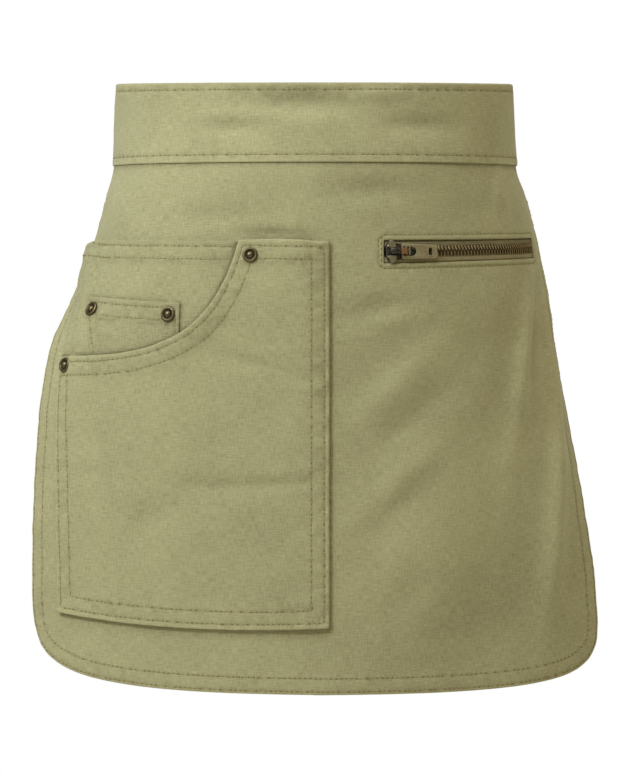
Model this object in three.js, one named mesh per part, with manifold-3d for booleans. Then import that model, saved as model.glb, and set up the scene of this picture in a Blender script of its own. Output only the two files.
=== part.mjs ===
// A half waist apron of cotton twill, held open in the shape that it has when it is worn.
//
// Millimetres, +Z up. The front faces -Y, and the wearer's waist runs along Z through the origin,
// which lies halfway up the waistband.
//
// Cloth is placed in cloth coordinates: s is the distance round the body from the centre front,
// positive towards +X, z is the height, and h is the distance out from the panel's outer face.

import * as THREE from "three";
import { mergeVertices } from "three/addons/utils/BufferGeometryUtils.js";
import Module from "manifold-3d";

const wasm = await Module();
wasm.setup();

// Driving sizes

const CLOTH = 1.0; // one layer of twill
const GAP = 0.45; // air left between pieces that are sewn or riveted together

const BAND = {
  top: 23.2,
  seam: -23.3,
  tuck: 9, // how far the panel's top edge goes up between the band's two layers
  play: 0.45, // air on each face of the tucked edge
  overlap: 50, // length of the lapped ends at the centre back
  liftLength: 60, // the outer end rises clear of the inner end over this length
};

const PANEL = {
  halfWidth: 185,
  hem: -333,
  // The rounded lower corners: length along the hem, height up the side, and how square they are.
  corners: { left: { along: 163, up: 85, power: 3.9 }, right: { along: 165, up: 48, power: 3.5 } },
};

const POCKET = {
  right: 8.6,
  leftTop: -168,
  leftBottom: -160.7,
  top: -70.4,
  sink: 5.5, // how much lower the back layer's top edge is at its left corner
  sinkFrom: -150, // where it starts to sink
  sinkPower: 1.5, // how sharply it bends there
  bottom: -296.3, // at the lowest point of the bottom edge
  bottomMiddle: -38, // where that lowest point is
  bottomCurve: 0.00052, // how fast the bottom edge rises from it
  mouthSlack: 3.0, // how far the back layer stands off the panel at its open top
  cornerSlack: 5.2, // and how much further at its top left corner
  cornerWidth: 22, // the corner's slack fades over this width
  cornerDrop: 60, // and over this height
  seamWidth: 18, // the slack fades to nothing over this width beside the side seams
};

// The curved mouth of the pocket front, from its top to the left seam, as a cubic curve.
const MOUTH = new THREE.CubicBezierCurve(
  new THREE.Vector2(-44, POCKET.top),
  new THREE.Vector2(-58.5, -122.3),
  new THREE.Vector2(-80, -141.7),
  new THREE.Vector2(POCKET.leftTop, -140),
);

const COIN = {
  left: -149, // at the top
  lean: 0.32, // how fast the left edge moves in below that
  right: -79.5,
  topLeft: -105,
  topRight: -107.2,
  bottom: -168,
  mouthSlack: 0.4,
};

const ZIP = {
  left: 40.7,
  right: 158.4,
  middle: -76.2, // height of the line where the teeth meet
  slotHalf: 6.5,
  tapeHalf: 14.4,
  tapeEnd: 6, // the tapes run on this far behind the panel past each end of the slot
  tapeFace: -1.6, // outer face of the tapes
  toothPitch: 2.3,
  toothWidth: 0.95,
  toothTip: -0.7, // the teeth reach this far past the middle
  toothRoot: 1.5,
  railOuter: 3.5,
  railLow: -3.1,
  railHigh: -0.7,
};

const SLIDER = {
  at: 47.6, // its middle, as a distance round the body
  length: 12,
  shoulder: 6.1, // half widths
  nose: 4.6,
  tail: 4.3,
  topPlate: [-0.3, 0.9],
  bottomPlate: [-4.6, -3.5],
  bridgeFrom: -3.6,
  bridgeTo: 5.8,
  bridgeHalf: 1.3,
  bridgeTop: 3.9,
  bridgeThick: 1.1,
};

const PULL = {
  hinge: new THREE.Vector3(3.7, 0, 1.85), // in the slider's own frame
  bar: 0.55, // half the thickness of the tab and of its hinge bar
  windowEnd: 8.7,
  windowHalf: 2.7,
  end: 22,
  rootHalf: 4.7,
  endHalf: 4.2,
  slotFrom: 16.4,
  slotTo: 18.6,
  slotHalf: 2.2,
  droop: 6, // degrees that it leans towards the teeth at rest
};

const BAG = { left: 36, right: 163, top: -57.5, bottom: -190, frontTop: -86, seam: 1.4, face: -3.1, depth: 3.9 };

const RIVET = { cap: 4.6, dome: 1.9, post: 1.6, burr: 3.4, burrThick: 0.8, hole: 2.0 };
const BUTTON = { seat: 0.7, cap: 7.5, post: 2.2, back: 5, backThick: 1.2, hole: 2.6, domeHeight: 2.6 };

// Level sections of the worn apron, from the top down: half widths, depth, and how much higher the
// back of the section is than its front.
const SECTIONS = [
  { z: 26, left: 118.4, right: 118, depth: 80, lift: 6 },
  { z: -23, left: 120.5, right: 120.2, depth: 91.5, lift: 2 },
  { z: -45, left: 125.5, right: 126.5, depth: 95, lift: 5 },
  { z: -70, left: 131.5, right: 132.6, depth: 99, lift: 7 },
  { z: -90, left: 138.5, right: 136.8, depth: 102, lift: 7 },
  { z: -110, left: 148, right: 140.4, depth: 105, lift: 7 },
  { z: -130, left: 161.5, right: 143.4, depth: 107, lift: 7 },
  { z: -160, left: 174, right: 150.6, depth: 110.5, lift: 7 },
  { z: -195, left: 180.6, right: 160, depth: 114, lift: 7 },
  { z: -230, left: 186.1, right: 170.8, depth: 117, lift: 7 },
  { z: -270, left: 188.3, right: 183.6, depth: 120, lift: 7 },
  { z: -336, left: 187, right: 196, depth: 124, lift: 7 },
];

// Soft folds and dents: where each is, how long and wide, how far its length is turned from level
// in degrees, and how far it stands out, with dents negative.
const FOLDS = [
  { s: 146, z: -122, long: 42, wide: 8, turn: 68, height: 1.8 },
  { s: 160, z: -128, long: 40, wide: 8, turn: 92, height: -2.0 },
  { s: 121, z: -165, long: 62, wide: 15, turn: 76, height: -1.8 },
  { s: 151, z: -250, long: 45, wide: 9, turn: 81, height: 1.6 },
  { s: 40, z: -140, long: 40, wide: 16, turn: 38, height: -1.2 },
  { s: 55, z: -205, long: 45, wide: 17, turn: 40, height: 1.2 },
  { s: 75, z: -250, long: 45, wide: 16, turn: 42, height: -1.1 },
];

// The body that the cloth lies on

const radians = THREE.MathUtils.degToRad;
const ease = (t) => THREE.MathUtils.smoothstep(t, 0, 1);

// One column of the sections at height z, on a smooth curve through the rows.
function sectionValue(column, z) {
  const last = SECTIONS.length - 1;
  const slope = (i) => {
    const above = SECTIONS[Math.max(i - 1, 0)];
    const below = SECTIONS[Math.min(i + 1, last)];
    return (below[column] - above[column]) / (below.z - above.z);
  };
  let i = SECTIONS.findIndex((row) => row.z <= z) - 1;
  if (i === -2) i = last - 1;
  i = Math.max(i, 0);
  const [upper, lower] = [SECTIONS[i], SECTIONS[i + 1]];
  const span = lower.z - upper.z;
  const t = (z - upper.z) / span;
  return (
    (1 + 2 * t) * (1 - t) ** 2 * upper[column] +
    t * (1 - t) ** 2 * span * slope(i) +
    t * t * (3 - 2 * t) * lower[column] +
    t * t * (t - 1) * span * slope(i + 1)
  );
}

// Distances round a section from the centre front, one for each degree up to the centre back.
const arcTables = new Map();
function arcTable(side, z) {
  const key = side + z.toFixed(5);
  if (!arcTables.has(key)) {
    const [a, b] = [sectionValue(side, z), sectionValue("depth", z)];
    const table = [0];
    for (let degree = 1; degree <= 180; degree++) {
      const [from, to] = [radians(degree - 1), radians(degree)];
      const across = a * (Math.sin(to) - Math.sin(from));
      const along = b * (Math.cos(to) - Math.cos(from));
      table.push(table[degree - 1] + Math.hypot(across, along));
    }
    arcTables.set(key, table);
  }
  return arcTables.get(key);
}

function angleAt(s, z) {
  const table = arcTable(s < 0 ? "left" : "right", z);
  const next = Math.max(table.findIndex((length) => length >= Math.abs(s)), 1);
  const share = (Math.abs(s) - table[next - 1]) / (table[next] - table[next - 1]);
  return Math.sign(s) * radians(next - 1 + share);
}

function arcAt(angle, z) {
  const table = arcTable(angle < 0 ? "left" : "right", z);
  const degrees = Math.min(THREE.MathUtils.radToDeg(Math.abs(angle)), 179.999);
  const low = Math.floor(degrees);
  return Math.sign(angle) * THREE.MathUtils.lerp(table[low], table[low + 1], degrees - low);
}

function foldHeight(s, z) {
  return FOLDS.reduce((sum, fold) => {
    const [cos, sin] = [Math.cos(radians(fold.turn)), Math.sin(radians(fold.turn))];
    const along = ((s - fold.s) * cos + (z - fold.z) * sin) / fold.long;
    const across = ((z - fold.z) * cos - (s - fold.s) * sin) / fold.wide;
    return sum + fold.height * Math.exp(-along * along - across * across);
  }, 0);
}

function bodyPoint(angle, z) {
  const [sin, cos] = [Math.sin(angle), Math.cos(angle)];
  const a = sectionValue(sin < 0 ? "left" : "right", z);
  const b = sectionValue("depth", z);
  const rise = (sectionValue("lift", z) * (1 - cos)) / 2;
  const out = new THREE.Vector3(sin / a, -cos / b, 0).normalize();
  return new THREE.Vector3(a * sin, -b * cos, z + rise).addScaledVector(out, foldHeight(arcAt(angle, z), z));
}

function bodyNormal(angle, z) {
  const [turn, step] = [0.004, 0.5];
  const round = bodyPoint(angle + turn, z).sub(bodyPoint(angle - turn, z));
  const up = bodyPoint(angle, z + step).sub(bodyPoint(angle, z - step));
  return round.cross(up).normalize();
}

const offBody = (angle, z, h) => bodyPoint(angle, z).addScaledVector(bodyNormal(angle, z), h);
const lay = (s, z, h) => offBody(angleAt(s, z), z, h);

// A frame on the cloth at s, z: X round the body, Y up the cloth and Z outwards.
function frameAt(s, z) {
  const origin = lay(s, z, 0);
  const outwards = bodyNormal(angleAt(s, z), z);
  const round = lay(s + 0.5, z, 0).sub(lay(s - 0.5, z, 0));
  round.addScaledVector(outwards, -round.dot(outwards)).normalize();
  const up = new THREE.Vector3().crossVectors(outwards, round);
  return new THREE.Matrix4().makeBasis(round, up, outwards).setPosition(origin);
}

// Building blocks

// Stations from low to high that hold every fixed value and lie no further apart than step.
function stations(low, high, step, fixed = []) {
  const stops = [low, ...fixed, high].sort((p, q) => p - q);
  return stops.slice(1).reduce(
    (list, stop, i) => {
      const parts = Math.ceil((stop - stops[i]) / step);
      for (let n = 1; n <= parts; n++) list.push(THREE.MathUtils.lerp(stops[i], stop, n / parts));
      return list;
    },
    [low],
  );
}

// The six sides of a cell: the way to the neighbour, then the corners, anticlockwise from outside.
const CELL_SIDES = [
  { to: [1, 0, 0], corners: [[1, 0, 0], [1, 1, 0], [1, 1, 1], [1, 0, 1]] },
  { to: [-1, 0, 0], corners: [[0, 0, 0], [0, 0, 1], [0, 1, 1], [0, 1, 0]] },
  { to: [0, 1, 0], corners: [[0, 1, 0], [0, 1, 1], [1, 1, 1], [1, 1, 0]] },
  { to: [0, -1, 0], corners: [[0, 0, 0], [1, 0, 0], [1, 0, 1], [0, 0, 1]] },
  { to: [0, 0, 1], corners: [[0, 0, 1], [1, 0, 1], [1, 1, 1], [0, 1, 1]] },
  { to: [0, 0, -1], corners: [[0, 0, 0], [0, 1, 0], [1, 1, 0], [1, 0, 0]] },
];

// The closed skin of a bent block of cells with stations u, v and w. place puts a corner in space,
// and solid(i, j, k) says whether a cell is filled.
function cellSolid(u, v, w, place, solid = () => true) {
  const [positions, triangles, known] = [[], [], new Map()];
  const corner = (i, j, k) => {
    const key = `${i} ${j} ${k}`;
    if (!known.has(key)) {
      known.set(key, positions.length / 3);
      positions.push(...place(u[i], v[j], w[k]).toArray());
    }
    return known.get(key);
  };
  const inside = (index, list) => index >= 0 && index < list.length - 1;
  const filled = (i, j, k) => inside(i, u) && inside(j, v) && inside(k, w) && solid(i, j, k);
  for (let i = 0; i < u.length - 1; i++) {
    for (let j = 0; j < v.length - 1; j++) {
      for (let k = 0; k < w.length - 1; k++) {
        if (!filled(i, j, k)) continue;
        for (const { to, corners } of CELL_SIDES) {
          if (filled(i + to[0], j + to[1], k + to[2])) continue;
          const [p, q, r, t] = corners.map((c) => corner(i + c[0], j + c[1], k + c[2]));
          triangles.push(p, q, r, p, r, t);
        }
      }
    }
  }
  const geometry = new THREE.BufferGeometry();
  geometry.setAttribute("position", new THREE.Float32BufferAttribute(positions, 3));
  geometry.setIndex(triangles);
  return geometry;
}

// One layer of cloth over the columns u and rows v, between its skin's two faces.
function clothLayer(u, v, toCloth, skin, solid) {
  const place = (column, row, face) => {
    const { s, z } = toCloth(column, row);
    return lay(s, z, skin(s, z)[face ? "outer" : "inner"]);
  };
  return cellSolid(u, v, [0, 1], place, solid);
}

function asSolid(geometry) {
  const bare = geometry.clone().deleteAttribute("normal").deleteAttribute("uv");
  const merged = mergeVertices(bare, 1e-4);
  const triVerts = merged.index.array.filter((_, n, list) => {
    const [p, q, r] = list.slice(n - (n % 3), n - (n % 3) + 3);
    return p !== q && q !== r && r !== p;
  });
  const vertProperties = merged.attributes.position.array;
  return new wasm.Manifold(new wasm.Mesh({ numProp: 3, vertProperties, triVerts: new Uint32Array(triVerts) }));
}

function asGeometry(solid) {
  const { vertProperties, triVerts } = solid.getMesh();
  const geometry = new THREE.BufferGeometry();
  geometry.setAttribute("position", new THREE.BufferAttribute(vertProperties, 3));
  geometry.setIndex(new THREE.BufferAttribute(triVerts, 1));
  return geometry;
}

const cut = (geometry, tools) =>
  asGeometry(tools.reduce((solid, tool) => solid.subtract(asSolid(tool)), asSolid(geometry)));
const join = (geometries) =>
  asGeometry(geometries.slice(1).reduce((solid, next) => solid.add(asSolid(next)), asSolid(geometries[0])));

// A turned piece about its own Z axis, from a profile of radius and height that starts and ends on it.
function turned(profile, sides) {
  const points = profile.map(([radius, height]) => new THREE.Vector2(radius, height));
  return new THREE.LatheGeometry(points, sides).rotateX(Math.PI / 2);
}

// A flat outline of X and Y, made solid from one height to another.
function plate(shape, [low, high]) {
  const options = { depth: high - low, bevelEnabled: false, curveSegments: 6 };
  return new THREE.ExtrudeGeometry(shape, options).translate(0, 0, low);
}

const outline = (points) => new THREE.Shape(points.map(([x, y]) => new THREE.Vector2(x, y)));
const rectangle = (x0, x1, half) => [[x0, -half], [x1, -half], [x1, half], [x0, half]];

// The skins of the layers: where each one's inner and outer faces lie

const panelSkin = () => ({ inner: -CLOTH, outer: 0 });

// The back layer's top edge sinks towards its left corner.
function pocketTop(s) {
  const share = THREE.MathUtils.clamp((POCKET.sinkFrom - s) / (POCKET.sinkFrom - POCKET.leftTop), 0, 1);
  return POCKET.top - POCKET.sink * share ** POCKET.sinkPower;
}

const pocketBottom = (s) => POCKET.bottom + POCKET.bottomCurve * (s - POCKET.bottomMiddle) ** 2;

function pocketLeft(z) {
  const share = (z - POCKET.bottom) / (POCKET.top - POCKET.bottom);
  return THREE.MathUtils.lerp(POCKET.leftBottom, POCKET.leftTop, share);
}

function backSkin(s, z) {
  const up = THREE.MathUtils.clamp((z - POCKET.bottom) / (POCKET.top - POCKET.bottom), 0, 1);
  const fromLeft = s - pocketLeft(z);
  const seams = ease(fromLeft / POCKET.seamWidth) * ease((POCKET.right - s) / POCKET.seamWidth);
  const corner =
    Math.exp(-((fromLeft / POCKET.cornerWidth) ** 2)) * ease((z - POCKET.top + POCKET.cornerDrop) / POCKET.cornerDrop);
  const inner = GAP + POCKET.mouthSlack * up ** 1.5 * seams + POCKET.cornerSlack * corner;
  return { inner, outer: inner + CLOTH };
}

function coinTop(s) {
  const share = (s - COIN.left) / (COIN.right - COIN.left);
  return THREE.MathUtils.lerp(COIN.topLeft, COIN.topRight, share);
}

function coinSkin(s, z) {
  const gape = COIN.mouthSlack * ease((z - coinTop(s) + 20) / 20);
  const inner = backSkin(s, z).outer + GAP + gape;
  return { inner, outer: inner + CLOTH };
}

// The pocket front steps out over the coin pocket behind it, within these margins.
const STEP = { near: 2, far: 8, belowSlope: 4 };
const COIN_STEPS = [COIN.left - STEP.far, COIN.left - STEP.near, COIN.right + STEP.near, COIN.right + STEP.far];

function frontSkin(s, z) {
  const outside = Math.max(COIN.left - s, s - COIN.right, (COIN.bottom - z) / STEP.belowSlope);
  const over = THREE.MathUtils.clamp((STEP.far - outside) / (STEP.far - STEP.near), 0, 1);
  const inner = backSkin(s, z).outer + GAP + over * (CLOTH + GAP + COIN.mouthSlack);
  return { inner, outer: inner + CLOTH };
}

// Height of the pocket front's top edge: level at the right, then down along the curved mouth.
function mouthTop(s) {
  if (s >= MOUTH.v0.x) return POCKET.top;
  let [low, high] = [0, 1];
  for (let n = 0; n < 40; n++) {
    const middle = (low + high) / 2;
    if (MOUTH.getPoint(middle).x > s) low = middle;
    else high = middle;
  }
  return MOUTH.getPoint(low).y;
}

// Cloth pieces

// Distance round the body from the centre front to the panel's edge on one side.
function panelEdge(side, z) {
  const { along, up, power } = PANEL.corners[side];
  const below = THREE.MathUtils.clamp((PANEL.hem + up - z) / up, 0, 1);
  return PANEL.halfWidth - along * (1 - (1 - below ** power) ** (1 / power));
}

function panel() {
  const slot = { low: ZIP.middle - ZIP.slotHalf, high: ZIP.middle + ZIP.slotHalf };
  const columns = stations(-1, 1, 12 / PANEL.halfWidth, [ZIP.left / PANEL.halfWidth, ZIP.right / PANEL.halfWidth]);
  const tall = PANEL.corners.left.up;
  const corner = stations(0, 90, 10).map((turn) => PANEL.hem + tall * (1 - Math.cos(radians(turn))));
  const straight = stations(PANEL.hem + tall, BAND.seam + BAND.tuck, 17, [slot.low, slot.high, BAND.seam]);
  const rows = [...corner, ...straight.slice(1)];
  const inSlot = (i, j) => {
    const s = ((columns[i] + columns[i + 1]) / 2) * PANEL.halfWidth;
    const z = (rows[j] + rows[j + 1]) / 2;
    return s > ZIP.left && s < ZIP.right && z > slot.low && z < slot.high;
  };
  const toCloth = (u, z) => ({ s: u * panelEdge(u < 0 ? "left" : "right", z), z });
  return clothLayer(columns, rows, toCloth, panelSkin, (i, j) => !inSlot(i, j));
}

// The band is one folded strip. Its lower edge is open where the panel is tucked in, and its outer
// end steps out over the inner end at the centre back.
function waistband() {
  const round = arcAt(Math.PI, 0);
  const perLength = Math.PI / round;
  const end = Math.PI + (BAND.overlap / 2) * perLength;
  const lifted = Math.PI - (BAND.overlap / 2 + 8) * perLength;
  const grooveEnds = [-1, 1].map((side) => angleAt(side * (PANEL.halfWidth + 2), BAND.seam + BAND.tuck));
  const angles = stations(-end, end, radians(5.6), grooveEnds);
  const heights = [BAND.seam, BAND.seam + BAND.tuck + GAP, BAND.top];
  const faces = [-2 * CLOTH - BAND.play, -CLOTH - BAND.play, BAND.play, CLOTH + BAND.play];
  const thickness = faces[3] - faces[0];
  const lift = (angle) =>
    (thickness + 2 * GAP) * ease(1 - (lifted - angle) / (BAND.liftLength * perLength));
  const place = (angle, z, h) => offBody(angle, z, h + lift(angle));
  const inGroove = (i, j, k) =>
    j === 0 && k === 1 && angles[i] > grooveEnds[0] - 1e-6 && angles[i + 1] < grooveEnds[1] + 1e-6;
  return cellSolid(angles, heights, faces, place, (i, j, k) => !inGroove(i, j, k));
}

function pocketBack() {
  const columns = stations(0, 1, 0.067);
  const rows = stations(0, 1, 0.077);
  const toCloth = (u, v) => {
    const level = THREE.MathUtils.lerp(POCKET.bottom, POCKET.top, v);
    const s = THREE.MathUtils.lerp(pocketLeft(level), POCKET.right, u);
    return { s, z: THREE.MathUtils.lerp(pocketBottom(s), pocketTop(s), v) };
  };
  return clothLayer(columns, rows, toCloth, backSkin);
}

function pocketFront() {
  const turn = [-60, -52, -48, -45.5, MOUTH.v0.x];
  const columns = stations(POCKET.leftTop, POCKET.right, 11, [...COIN_STEPS, ...turn]);
  const rows = stations(0, 1, 0.075);
  const toCloth = (column, v) => {
    const z = THREE.MathUtils.lerp(pocketBottom(column), mouthTop(column), v);
    const drift = (pocketLeft(z) - POCKET.leftTop) * ease((COIN_STEPS[0] - column) / STEP.far);
    return { s: column + drift, z };
  };
  return clothLayer(columns, rows, toCloth, frontSkin);
}

function coinPocket() {
  const columns = stations(COIN.left, COIN.right, 10);
  const toCloth = (column, v) => {
    const z = THREE.MathUtils.lerp(COIN.bottom, coinTop(column), v);
    const share = (COIN.right - column) / (COIN.right - COIN.left);
    return { s: column + share * COIN.lean * (COIN.topLeft - z), z };
  };
  return clothLayer(columns, stations(0, 1, 0.17), toCloth, coinSkin);
}

// The zip's pouch hangs behind the panel: two layers joined at the sides and the bottom, with the
// back layer carried on up to the panel above the slot.
function zipPocketBag() {
  const back = BAG.face - BAG.depth;
  const faces = [back, back + CLOTH, BAG.face - CLOTH, BAG.face, -CLOTH - GAP];
  const columns = stations(BAG.left, BAG.right, 16, [BAG.left + BAG.seam, BAG.right - BAG.seam]);
  const rows = stations(BAG.bottom, BAG.top, 26, [BAG.bottom + BAG.seam, BAG.frontTop, BAG.top - BAG.seam]);
  const solid = (i, j, k) => {
    const z = (rows[j] + rows[j + 1]) / 2;
    const side = i === 0 || i === columns.length - 2;
    const edge = z < BAG.bottom + BAG.seam;
    if (z > BAG.top - BAG.seam) return true;
    if (k === 0) return true;
    if (k === 3) return false;
    return side || edge || (k === 2 && z < BAG.frontTop);
  };
  return cellSolid(columns, rows, faces, (s, z, h) => lay(s, z, h), solid);
}

// Zip

const SIDES = [{ name: "upper", way: 1 }, { name: "lower", way: -1 }];
const across = (way, distances) => distances.map((d) => ZIP.middle + way * d).sort((p, q) => p - q);

function zipTape({ way }) {
  const columns = stations(ZIP.left - ZIP.tapeEnd, ZIP.right + ZIP.tapeEnd, 12);
  const rows = across(way, [ZIP.railOuter + GAP, ZIP.slotHalf, ZIP.tapeHalf]);
  const skin = () => ({ inner: ZIP.tapeFace - CLOTH, outer: ZIP.tapeFace });
  return clothLayer(columns, rows, (s, z) => ({ s, z }), skin);
}

// One row of teeth on its rail. The two rows are half a pitch apart, so that they mesh.
function zipTeeth({ way }) {
  const first = SLIDER.at + (way > 0 ? 0 : ZIP.toothPitch / 2);
  const count = Math.floor((ZIP.right - first) / ZIP.toothPitch);
  const columns = [first - ZIP.toothPitch / 2];
  for (let n = 0; n < count; n++) {
    const middle = first + n * ZIP.toothPitch;
    columns.push(middle - ZIP.toothWidth / 2, middle + ZIP.toothWidth / 2);
  }
  columns.push(columns.at(-1) + ZIP.toothPitch / 2);
  const rows = across(way, [ZIP.toothTip, ZIP.toothRoot, ZIP.railOuter]);
  const rail = way > 0 ? 1 : 0;
  const place = (s, z, h) => lay(s, z, h);
  return cellSolid(columns, rows, [ZIP.railLow, ZIP.railHigh], place, (i, j) => j === rail || i % 2 === 1);
}

function zipSlider() {
  const [nose, tail] = [-SLIDER.length / 2, SLIDER.length / 2];
  const edge = [[tail, SLIDER.tail], [1, SLIDER.tail + 0.5], [-1.5, SLIDER.shoulder], [-4, SLIDER.shoulder], [nose, SLIDER.nose]];
  const body = outline([...edge, ...edge.toReversed().map(([x, y]) => [x, -y])]);
  const legTop = SLIDER.bridgeTop - SLIDER.bridgeThick;
  const base = SLIDER.topPlate[1] - 0.4;
  const [from, to, leg] = [SLIDER.bridgeFrom, SLIDER.bridgeTo, SLIDER.bridgeThick];
  const arch = outline([
    [from, base], [from + leg, base], [from + leg, legTop], [to - leg, legTop], [to - leg, base], [to, base],
    [to, legTop], [to - leg, SLIDER.bridgeTop], [from + leg, SLIDER.bridgeTop], [from, legTop],
  ]);
  const bridge = plate(arch, [-SLIDER.bridgeHalf, SLIDER.bridgeHalf]).rotateX(Math.PI / 2);
  const post = plate(outline(rectangle(nose + 0.4, nose + 2.8, 1.3)), [SLIDER.bottomPlate[0] + 0.5, base]);
  return join([plate(body, SLIDER.topPlate), plate(body, SLIDER.bottomPlate), post, bridge]);
}

function zipPull() {
  const tab = outline([
    [-PULL.bar, -PULL.rootHalf], [PULL.end - 1, -PULL.endHalf], [PULL.end, 1 - PULL.endHalf],
    [PULL.end, PULL.endHalf - 1], [PULL.end - 1, PULL.endHalf], [-PULL.bar, PULL.rootHalf],
  ]);
  const holes = [
    rectangle(PULL.bar, PULL.windowEnd, PULL.windowHalf),
    rectangle(PULL.slotFrom, PULL.slotTo, PULL.slotHalf),
  ];
  tab.holes = holes.map((points) => new THREE.Path(outline(points).getPoints()));
  return plate(tab, [-PULL.bar, PULL.bar]);
}

// Rivets and the back button

const RIVETS = [
  { name: "rivet_mouth_top", s: -37, z: -79, top: frontSkin, last: backSkin, through: ["front", "back"] },
  { name: "rivet_mouth_side", s: -157, z: -145, top: frontSkin, last: panelSkin, through: ["front", "back", "panel"] },
  { name: "rivet_coin_left", s: -142, z: -113, top: coinSkin, last: backSkin, through: ["coin", "back"] },
  { name: "rivet_coin_right", s: -86.5, z: -114, top: coinSkin, last: backSkin, through: ["coin", "back"] },
];

// The heights, out from the panel, of the cloth under a rivet's cap and behind its burr.
function rivetSeats({ s, z, top, last }) {
  const ring = stations(0, 360, 45).map((turn) => [Math.cos(radians(turn)), Math.sin(radians(turn))]);
  const sag = 0.2;
  const cap = Math.max(...ring.map(([c, n]) => top(s + RIVET.cap * c, z + RIVET.cap * n).outer), top(s, z).outer);
  const burr = Math.min(...ring.map(([c, n]) => last(s + RIVET.burr * c, z + RIVET.burr * n).inner), last(s, z).inner);
  return { cap: cap + GAP, burr: burr - GAP - sag };
}

function rivet(row) {
  const seat = rivetSeats(row);
  const { cap, dome, post, burr, burrThick } = RIVET;
  const profile = [
    [0, seat.burr - burrThick], [burr, seat.burr - burrThick], [burr, seat.burr], [post, seat.burr],
    [post, seat.cap], [cap, seat.cap], [cap, seat.cap + 0.6], [cap - 0.6, seat.cap + 1.2],
    [cap - 1.6, seat.cap + 1.3], [dome + 0.5, seat.cap + 0.8], [dome, seat.cap + 1.4], [dome / 2, seat.cap + 2], [0, seat.cap + 2.1],
  ];
  return turned(profile, 14);
}

const clothHole = ({ s, z }) =>
  new THREE.CylinderGeometry(RIVET.hole, RIVET.hole, 40, 12).rotateX(Math.PI / 2).applyMatrix4(frameAt(s, z));
const holesIn = (layer) => RIVETS.filter((row) => row.through.includes(layer)).map(clothHole);

// The button's frame at the centre back: X round the band, Y up it and Z outwards.
function backFrame() {
  const outwards = bodyNormal(Math.PI, 0);
  const round = new THREE.Vector3(0, 0, 1).cross(outwards).normalize();
  const up = new THREE.Vector3().crossVectors(outwards, round);
  return new THREE.Matrix4().makeBasis(round, up, outwards).setPosition(bodyPoint(Math.PI, 0));
}

function backButton() {
  const inside = -2 * CLOTH - BAND.play;
  const bandThick = 3 * CLOTH + 2 * BAND.play;
  const low = inside - BUTTON.seat;
  const high = inside + 2 * bandThick + 2 * GAP + BUTTON.seat;
  const { cap, post, back, backThick, domeHeight } = BUTTON;
  const profile = [
    [0, low - backThick], [back, low - backThick], [back, low], [post, low], [post, high], [cap, high],
    [cap, high + 1], [cap - 1, high + 1.9], [cap / 2, high + domeHeight], [0, high + domeHeight + 0.2],
  ];
  return turned(profile, 18).applyMatrix4(backFrame());
}

const buttonHole = () =>
  new THREE.CylinderGeometry(BUTTON.hole, BUTTON.hole, 40, 12).rotateX(Math.PI / 2).applyMatrix4(backFrame());

// The apron

const FINISH = {
  twill: { color: 0xa7a177, roughness: 0.9, metalness: 0 },
  lining: { color: 0xb9b391, roughness: 0.95, metalness: 0 },
  tape: { color: 0x7d7450, roughness: 0.9, metalness: 0 },
  brass: { color: 0x5b4c2b, roughness: 0.4, metalness: 0.9 },
  pull: { color: 0x6e6848, roughness: 0.45, metalness: 0.9 },
};
const MATERIALS = Object.fromEntries(
  Object.entries(FINISH).map(([name, values]) => [name, new THREE.MeshStandardMaterial(values)]),
);

const apron = new THREE.Group();
function add(name, geometry, material, parent = apron) {
  geometry.computeVertexNormals();
  const mesh = new THREE.Mesh(geometry, MATERIALS[material]);
  mesh.name = name;
  parent.add(mesh);
  return mesh;
}

add("waistband", cut(waistband(), [buttonHole()]), "twill");
add("panel", cut(panel(), holesIn("panel")), "twill");
add("pocket_back", cut(pocketBack(), holesIn("back")), "twill");
add("pocket_front", cut(pocketFront(), holesIn("front")), "twill");
add("coin_pocket", cut(coinPocket(), holesIn("coin")), "twill");
add("zip_pocket_bag", zipPocketBag(), "lining");
for (const side of SIDES) {
  add(`zip_tape_${side.name}`, zipTape(side), "tape");
  add(`zip_teeth_${side.name}`, zipTeeth(side), "brass");
}

const zip = new THREE.Group();
zip.applyMatrix4(frameAt(SLIDER.at, ZIP.middle));
apron.add(zip);
add("zip_slider", zipSlider(), "brass", zip);
const hinge = new THREE.Group();
hinge.position.copy(PULL.hinge);
hinge.rotation.y = radians(PULL.droop);
zip.add(hinge);
add("zip_pull", zipPull(), "pull", hinge);

for (const row of RIVETS) {
  add(row.name, rivet(row), "brass").applyMatrix4(frameAt(row.s, row.z));
}
add("back_button", backButton(), "brass");

export default apron;
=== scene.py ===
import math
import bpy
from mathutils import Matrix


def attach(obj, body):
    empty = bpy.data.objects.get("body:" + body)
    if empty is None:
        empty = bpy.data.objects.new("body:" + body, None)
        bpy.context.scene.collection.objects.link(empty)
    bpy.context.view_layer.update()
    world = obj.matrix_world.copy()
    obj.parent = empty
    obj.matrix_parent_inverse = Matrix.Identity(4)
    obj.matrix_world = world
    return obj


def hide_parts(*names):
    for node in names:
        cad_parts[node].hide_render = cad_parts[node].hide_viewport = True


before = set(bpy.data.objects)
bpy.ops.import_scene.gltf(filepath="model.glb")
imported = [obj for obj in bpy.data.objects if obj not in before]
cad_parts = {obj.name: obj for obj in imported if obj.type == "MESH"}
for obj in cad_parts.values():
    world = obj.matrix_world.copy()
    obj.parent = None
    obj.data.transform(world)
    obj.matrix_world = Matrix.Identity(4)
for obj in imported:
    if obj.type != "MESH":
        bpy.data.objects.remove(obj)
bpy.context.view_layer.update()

# A half waist apron of khaki cotton twill, in the shape it has when it is worn.
#
# Cloth is laid in cloth coordinates, in millimetres: s is the distance round the body from the centre
# front, positive towards +X, z is the height, and h is the distance out from the panel's outer face.

from types import SimpleNamespace as Sizes

import bpy
import numpy as np
from mathutils import Matrix, Vector
from mathutils.geometry import delaunay_2d_cdt, tessellate_polygon

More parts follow.
